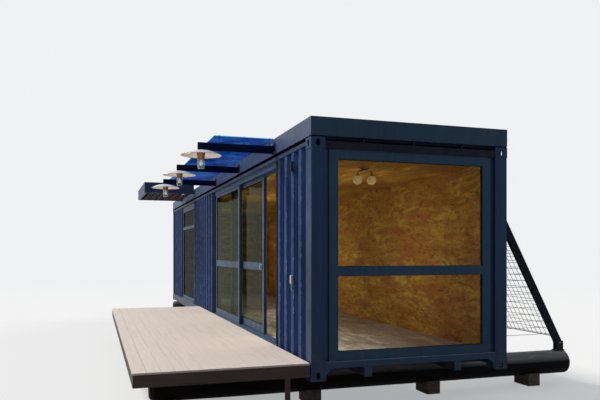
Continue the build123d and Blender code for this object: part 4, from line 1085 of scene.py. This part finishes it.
LIP_SKIN = 0.0005
DRIP_DEPTH = 0.0035
DRIP_HEIGHT = 0.010
LEDGE_DEPTH = 0.0235
LEDGE_SINK = 0.001
LEDGE_RISE = 0.004


def make_lips():
    """The drip edge of the header, and a pale strip along the top of the sill: a painted reflection of the
    sky on the ledge.
    """
    drip, strip = Shape(), Shape()
    low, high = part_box("end_headers")
    foot = (low.x, low.y + LIP_SKIN, low.z + LIP_SKIN)
    drip.bar(foot, (high.x, low.y + DRIP_DEPTH, low.z + DRIP_HEIGHT))
    drip.done("header_lip", FRAME_STEEL, slot="navy_steel")
    # A pale strip on the sill's ledge, as a painted reflection of the sky
    low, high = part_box("front_sill")
    foot = (low.x, low.y + LIP_SKIN, high.z - LEDGE_SINK)
    strip.bar(foot, (high.x, low.y + LEDGE_DEPTH, high.z + LEDGE_RISE))
    strip.done("sill_highlight_strip", LEDGE_HIGHLIGHT, slot="navy_steel")


# Canopy beams with wall plates and slim stand-offs

BEAM_HEIGHT = 0.095
PLATE_THICK = 0.008
PLATE_HALF = 0.052
PLATE_PAST = (0.004, 0.04)
PLATE_BOLTS = (0.038, 0.018)
WALL_BOLT = 0.017
STANDOFFS = (0.060, 0.390, 0.700)
ROD_RADIUS = 0.004
COLLAR = 0.004
LOWER_COLLAR = [(0.010, 0.0), (0.010, COLLAR)]
UPPER_COLLAR = [(0.011, 0.0), (0.011, COLLAR)]
ROD_CAP = [(0.018, 0.0), (0.017, 0.004), (0.008, 0.007)]


def make_beams():
    beams, rods, bolts = Shape(), Shape(), Shape()
    panel_low, panel_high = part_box("canopy_panel")
    wall = ORIGIN.x
    plate = wall - PLATE_THICK
    for low, high in pieces("canopy_beams"):
        y = (low.y + high.y) / 2
        top = low.z + BEAM_HEIGHT
        beams.bar((low.x, low.y, low.z), (wall, high.y, top))
        foot = (plate, y - PLATE_HALF, low.z - PLATE_PAST[0])
        beams.bar(foot, (wall, y + PLATE_HALF, top + PLATE_PAST[1]))
        aside, above = PLATE_BOLTS
        for dy in (-aside, aside):
            for z in (low.z + above, top + above):
                bolts.bolt((plate, y + dy, z), OUTWARD, WALL_BOLT)
        for reach in STANDOFFS:
            x = wall - reach
            rods.lathe([(ROD_RADIUS, 0.0), (ROD_RADIUS, panel_low.z - top)], (x, y, top), sides=12)
            rods.lathe(LOWER_COLLAR, (x, y, top), sides=16)
            rods.lathe(UPPER_COLLAR, (x, y, panel_low.z - COLLAR), sides=16)
            rods.lathe(ROD_CAP, (x, y, panel_high.z), sides=16)
    beams.bevelled(0.003, 2)
    beams.done("cantilever_beams", BEAM_PAINT, slot="navy_steel", smooth=40, replaces=["canopy_beams"])
    rods.done("panel_standoffs", LEAF_PAINT, slot="galvanised", smooth=40)
    bolts.done("beam_bolts", BOLT, slot="galvanised")


SLAT_BOLT = (0.013, 0.006)
SLAT_BOLT_IN = 0.03
FRAME_BOLT_IN = 0.025
FRAME_BOLT_UP = 0.05


def make_slat_bolts():
    bolts = Shape()
    for low, high in pieces("slat_canopy_slats"):
        for y in (low.y + SLAT_BOLT_IN, high.y - SLAT_BOLT_IN):
            bolts.bolt(((low.x + high.x) / 2, y, high.z), UP, *SLAT_BOLT)
    low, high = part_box("slat_canopy_frame")
    for y in (low.y + FRAME_BOLT_IN, high.y - FRAME_BOLT_IN):
        for z in (low.z + FRAME_BOLT_UP, high.z - FRAME_BOLT_UP):
            bolts.bolt((low.x, y, z), OUTWARD, WALL_BOLT)
    bolts.done("slat_bolts", BOLT, slot="galvanised")


# Lamps: bulbs, jar rings and rolled rims

RIM_RADIUS = 0.0035
BULB_POWER = 3.0
BULB_LIGHT = (1.0, 0.80, 0.62)
BULB_DROP = 0.085
BULB_SOFTNESS = 0.03
BULB_FORM = [(0.002, -0.094), (0.010, -0.092), (0.018, -0.085), (0.022, -0.073)]
BULB_FORM += [(0.021, -0.062), (0.016, -0.048), (0.013, -0.036), (0.0125, -0.026)]
CAP_FORM = [(0.0135, -0.026), (0.0145, -0.020), (0.0145, -0.006), (0.020, 0.0)]
RING_FORM = [(0.0425, -0.020), (0.0465, -0.019), (0.0465, -0.014), (0.0452, -0.012), (0.0465, -0.010)]
RING_FORM += [(0.0465, -0.005), (0.0452, -0.003), (0.0465, -0.001), (0.0425, 0.0)]


def point_light(name, place, energy, colour, radius):
    light = bpy.data.lights.new(name, "POINT")
    light.energy = energy
    light.color = colour
    light.shadow_soft_size = radius
    lamp = add(name, light)
    lamp.location = place
    lamp.visible_camera = False
    lamp.visible_glossy = False
    return lamp


def make_lamps():
    bulbs, caps, rims = Shape(), Shape(), Shape()
    for low, high in pieces("lamp_jars"):
        base = Vector(((low.x + high.x) / 2, (low.y + high.y) / 2, high.z))
        bulbs.lathe(BULB_FORM, base, sides=24)
        caps.lathe(CAP_FORM, base, sides=24)
        caps.hoop(RING_FORM, base, 36)
        lamp = point_light("bulb", base - UP * BULB_DROP, BULB_POWER, BULB_LIGHT, BULB_SOFTNESS)
        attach(lamp, "cabin")
    for low, high in pieces("lamp_shades"):
        middle = ((low.x + high.x) / 2, (low.y + high.y) / 2, low.z + RIM_RADIUS * 0.5)
        centre = Vector(((high.x - low.x) / 2 - RIM_RADIUS, 0))
        rims.hoop(circle(centre, Vector((1, 0)), Vector((0, 1)), RIM_RADIUS, 8), middle, 64)
    bulbs.done("lamp_bulbs", BULB, slot="globe_glass", smooth=60)
    caps.done("lamp_rings", BRONZE, slot="holder_bronze", smooth=40)
    rims.done("shade_rims", ENAMEL, slot="shade_enamel", smooth=60)


# Ceiling light with two globes on bent arms

GLOBE_RADIUS = 0.058
ROSE_FORM = [(0.014, -0.026), (0.036, -0.024), (0.054, -0.017), (0.060, -0.008), (0.060, 0.0)]
CAP_SINK = 0.006
GLOBE_CAP = [(0.026, -CAP_SINK), (0.027, 0.006), (0.018, 0.018), (0.007, 0.024)]
# The arm, as share of the reach and drop from the ceiling
ARM_PATH = ((0.0, 0.022), (0.3, 0.034), (0.72, 0.036), (0.92, 0.044), (1.0, 0.062))
ARM_RADIUS = 0.006


def make_room_light():
    low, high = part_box("room_light")
    x, y = (low.x + high.x) / 2, (low.y + high.y) / 2
    reach = (high.x - low.x) / 2 - GLOBE_RADIUS
    middle_z = low.z + GLOBE_RADIUS
    top_z = middle_z + GLOBE_RADIUS
    rose, arms, globes = Shape(), Shape(), Shape()
    rose.lathe(ROSE_FORM, (x, y, high.z))
    rose.done("light_rose", BRASS, slot="holder_bronze", smooth=40)
    for side in (-1, 1):
        end = x + side * reach
        path = [(x + side * share * reach, y, high.z - drop) for share, drop in ARM_PATH]
        arms.tube([*path, (end, y, top_z)], ARM_RADIUS, 12)
        arms.lathe(GLOBE_CAP, (end, y, top_z - CAP_SINK), sides=24)
        place = Matrix.Translation((end, y, middle_z))
        bmesh.ops.create_uvsphere(
            globes.bm, u_segments=40, v_segments=24, radius=GLOBE_RADIUS, matrix=place
        )
    arms.done("light_arms", BRASS, slot="holder_bronze", smooth=40)
    globes.done("light_globes", GLOBE, slot="globe_glass", smooth=80, replaces=["room_light"])


# The vent's louvres and the socket's lid and conduit

BLADES = 6
BLADE_FOOT = 0.002
BLADE_RISE = 1.2
BLADE_FRONT = (0.001, 0.003)
BLADE_BACK = (0.004, 0.006)
VENT_SHEET = 0.004
CASE_FRONT = 0.006
LID_THICK = 0.005
LID_EDGE = 0.004
LID_FOOT = 0.006
LID_TOP = 0.010
HINGE = 0.004
HINGE_END = 0.010
PIPE_IN = 0.009
PIPE_RADIUS = 0.008
PIPE_PATH = ((0.0, 0.010), (0.0, 0.065), (0.006, 0.075), (0.012, 0.078))
PIPE_NUT = [(0.0105, -0.016), (0.0105, 0.0)]
TRIM_IN = 0.008
TRIM_UP = 0.012
TRIM_DOWN = 0.02


def make_vent():
    low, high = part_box("vent_cover")
    vent = Shape()
    vent.bar((high.x - VENT_SHEET, low.y, low.z), (high.x, high.y, high.z))
    for y0, y1 in ((low.y, low.y + VENT_SHEET), (high.y - VENT_SHEET, high.y)):
        vent.bar((low.x, y0, low.z), (high.x, y1, high.z))
    vent.bar((low.x, low.y, high.z - VENT_SHEET), (high.x, high.y, high.z))
    step = (high.z - low.z - 2 * VENT_SHEET) / BLADES
    for n in range(BLADES):
        z = low.z + BLADE_FOOT + n * step
        top = min(z + step * BLADE_RISE, high.z - VENT_SHEET)
        blade = [(low.x + depth, z) for depth in BLADE_FRONT]
        blade += [(high.x - depth, top) for depth in BLADE_BACK]
        ends = (low.y + VENT_SHEET, high.y - VENT_SHEET)
        vent.loops([[(px, y, pz) for px, pz in blade] for y in ends])
    vent.done("louvred_vent", RAIL_STEEL, slot="fitting_grey", replaces=["vent_cover"])


def make_socket():
    low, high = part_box("socket_box")
    box = Shape()
    box.bar((low.x + CASE_FRONT, low.y, low.z), high)
    box.bevelled(0.004, 2)
    lid_low = (low.x, low.y + LID_EDGE, low.z + LID_FOOT)
    box.bar(lid_low, (low.x + LID_THICK, high.y - LID_EDGE, high.z - LID_TOP))
    hinge = [(HINGE, 0), (HINGE, high.y - low.y - 2 * HINGE_END)]
    box.lathe(hinge, (low.x + HINGE, low.y + HINGE_END, high.z - 2 * HINGE), (0, 1, 0), 10)
    box.done("socket_case", SOCKET_GREY, slot="fitting_grey", smooth=30, replaces=["socket_box"])
    x, y = high.x - PIPE_IN, (low.y + high.y) / 2
    pipe = Shape()
    pipe.lathe(PIPE_NUT, (x, y, low.z), sides=16)
    pipe.tube([(x + out, y, low.z - drop) for out, drop in PIPE_PATH], PIPE_RADIUS, 14)
    pipe.done("socket_conduit", SOCKET_GREY, slot="fitting_grey", smooth=40)
    trim = Shape()
    for y in (low.y + TRIM_IN, high.y - TRIM_IN):
        start, end = (low.x, y, low.z + TRIM_UP), (low.x, y, high.z - TRIM_DOWN)
        screw_row(trim, start, end, OUTWARD, pitch=0.2, radius=0.0028)
    trim.done("socket_screws", BOLT, slot="galvanised")


make_deck()
make_poles()
make_medium()
make_screen()
glaze("front_window_glass", "front_window_frame", 1, FRAME_STEEL, bead=WINDOW_BEAD)
glaze("rear_window_glass", "rear_window_frame", 0, FRAME_STEEL)
glaze("fixed_leaf_glass", "fixed_leaf_frame", 0, LEAF_PAINT)
glaze("sliding_leaf_glass", "sliding_leaf_frame", 0, LEAF_PAINT, "sliding_leaf")
make_door_details()
make_opening_details()
make_gap_shade()
make_fascia_joints()
make_welds()
make_lips()
make_beams()
make_slat_bolts()
make_lamps()
make_room_light()
make_vent()
make_socket()


# Stage, light and camera

FLOOR_REACH = 90.0
FLOOR_GREY = (0.66, 0.66, 0.66, 1.0)
BOUNCE = (0.22, 0.22, 0.22, 1.0)
PALE = (0.87, 0.88, 0.89, 1.0)
SKY = (0.84, 0.91, 1.0, 1.0)
AMBIENT = 0.30
SUNLIGHT = (1.0, 0.97, 0.93)
# Name, strength, direction towards it and angle across
SUNS = (
    ("key", 4.6, Vector((-0.42, 0.60, 0.68)), 14),
    ("fill", 1.1, Vector((0.80, 0.35, 0.45)), 40),
)
ROOM_LIGHT = (1.0, 0.9, 0.76)
ROOM_SOFTNESS = 0.35
# Place in the container's own coordinates, and power
ROOM_LIGHTS = (
    ((0.9, 1.9, 1.4), 27),
    ((0.9, 5.3, 1.3), 34),
    ((1.1, 9.2, 1.5), 15),
)
LENS = 37.45
SENSOR = 36
SHIFT_UP = 0.087
EYE = (-3.270, -12.295, 1.788)
LOOK = (90, 0, -18.2)


def seen(paint):
    """1 for rays that come from the camera, a mirror or through glass."""
    path = paint.node("LightPath").outputs
    straight = paint.maths("MAXIMUM", path["Is Camera Ray"], path["Is Glossy Ray"])
    return paint.maths("MAXIMUM", straight, path["Is Transmission Ray"])


def make_stage():
    p = Paint("studio_floor")
    dim = p.shader("BsdfDiffuse", Color=BOUNCE)
    lit = p.shader("BsdfDiffuse", Color=FLOOR_GREY)
    even = p.shader("Emission", Color=PALE, Strength=1.0)
    distance = p.node("VectorMath", {0: p.place}, operation="LENGTH").outputs["Value"]
    shown = p.blend(p.span(distance, 9.0, 26.0, 0.45, 1.0), lit, even)
    material = p.done(p.blend(seen(p), dim, shown))
    bpy.ops.mesh.primitive_circle_add(vertices=96, radius=FLOOR_REACH, fill_type="NGON")
    floor = bpy.context.object
    floor.name = "studio_floor"
    floor.data.materials.append(material)


def make_world():
    world = bpy.data.worlds.new("studio")
    bpy.context.scene.world = world
    p = Paint("studio", world)
    around = p.shader("Background", Color=SKY, Strength=AMBIENT)
    p.done(p.blend(seen(p), around, p.shader("Background", Color=PALE, Strength=1.0)))


def make_lights():
    for name, strength, towards, across in SUNS:
        sun = bpy.data.lights.new(name, "SUN")
        sun.energy = strength
        sun.angle = math.radians(across)
        sun.color = SUNLIGHT
        add(name, sun).rotation_euler = towards.to_track_quat("Z", "Y").to_euler()
    for n, (place, power) in enumerate(ROOM_LIGHTS):
        point_light(f"room_{n}", ORIGIN + Vector(place), power, ROOM_LIGHT, ROOM_SOFTNESS)


def make_camera():
    camera = bpy.data.cameras.new("camera")
    camera.lens = LENS
    camera.sensor_width = SENSOR
    camera.shift_y = SHIFT_UP
    eye = add("camera", camera)
    eye.location = EYE
    eye.rotation_euler = [math.radians(angle) for angle in LOOK]
    bpy.context.scene.camera = eye


make_stage()
make_world()
make_lights()
make_camera()
bpy.context.scene.view_settings.view_transform = "Standard"
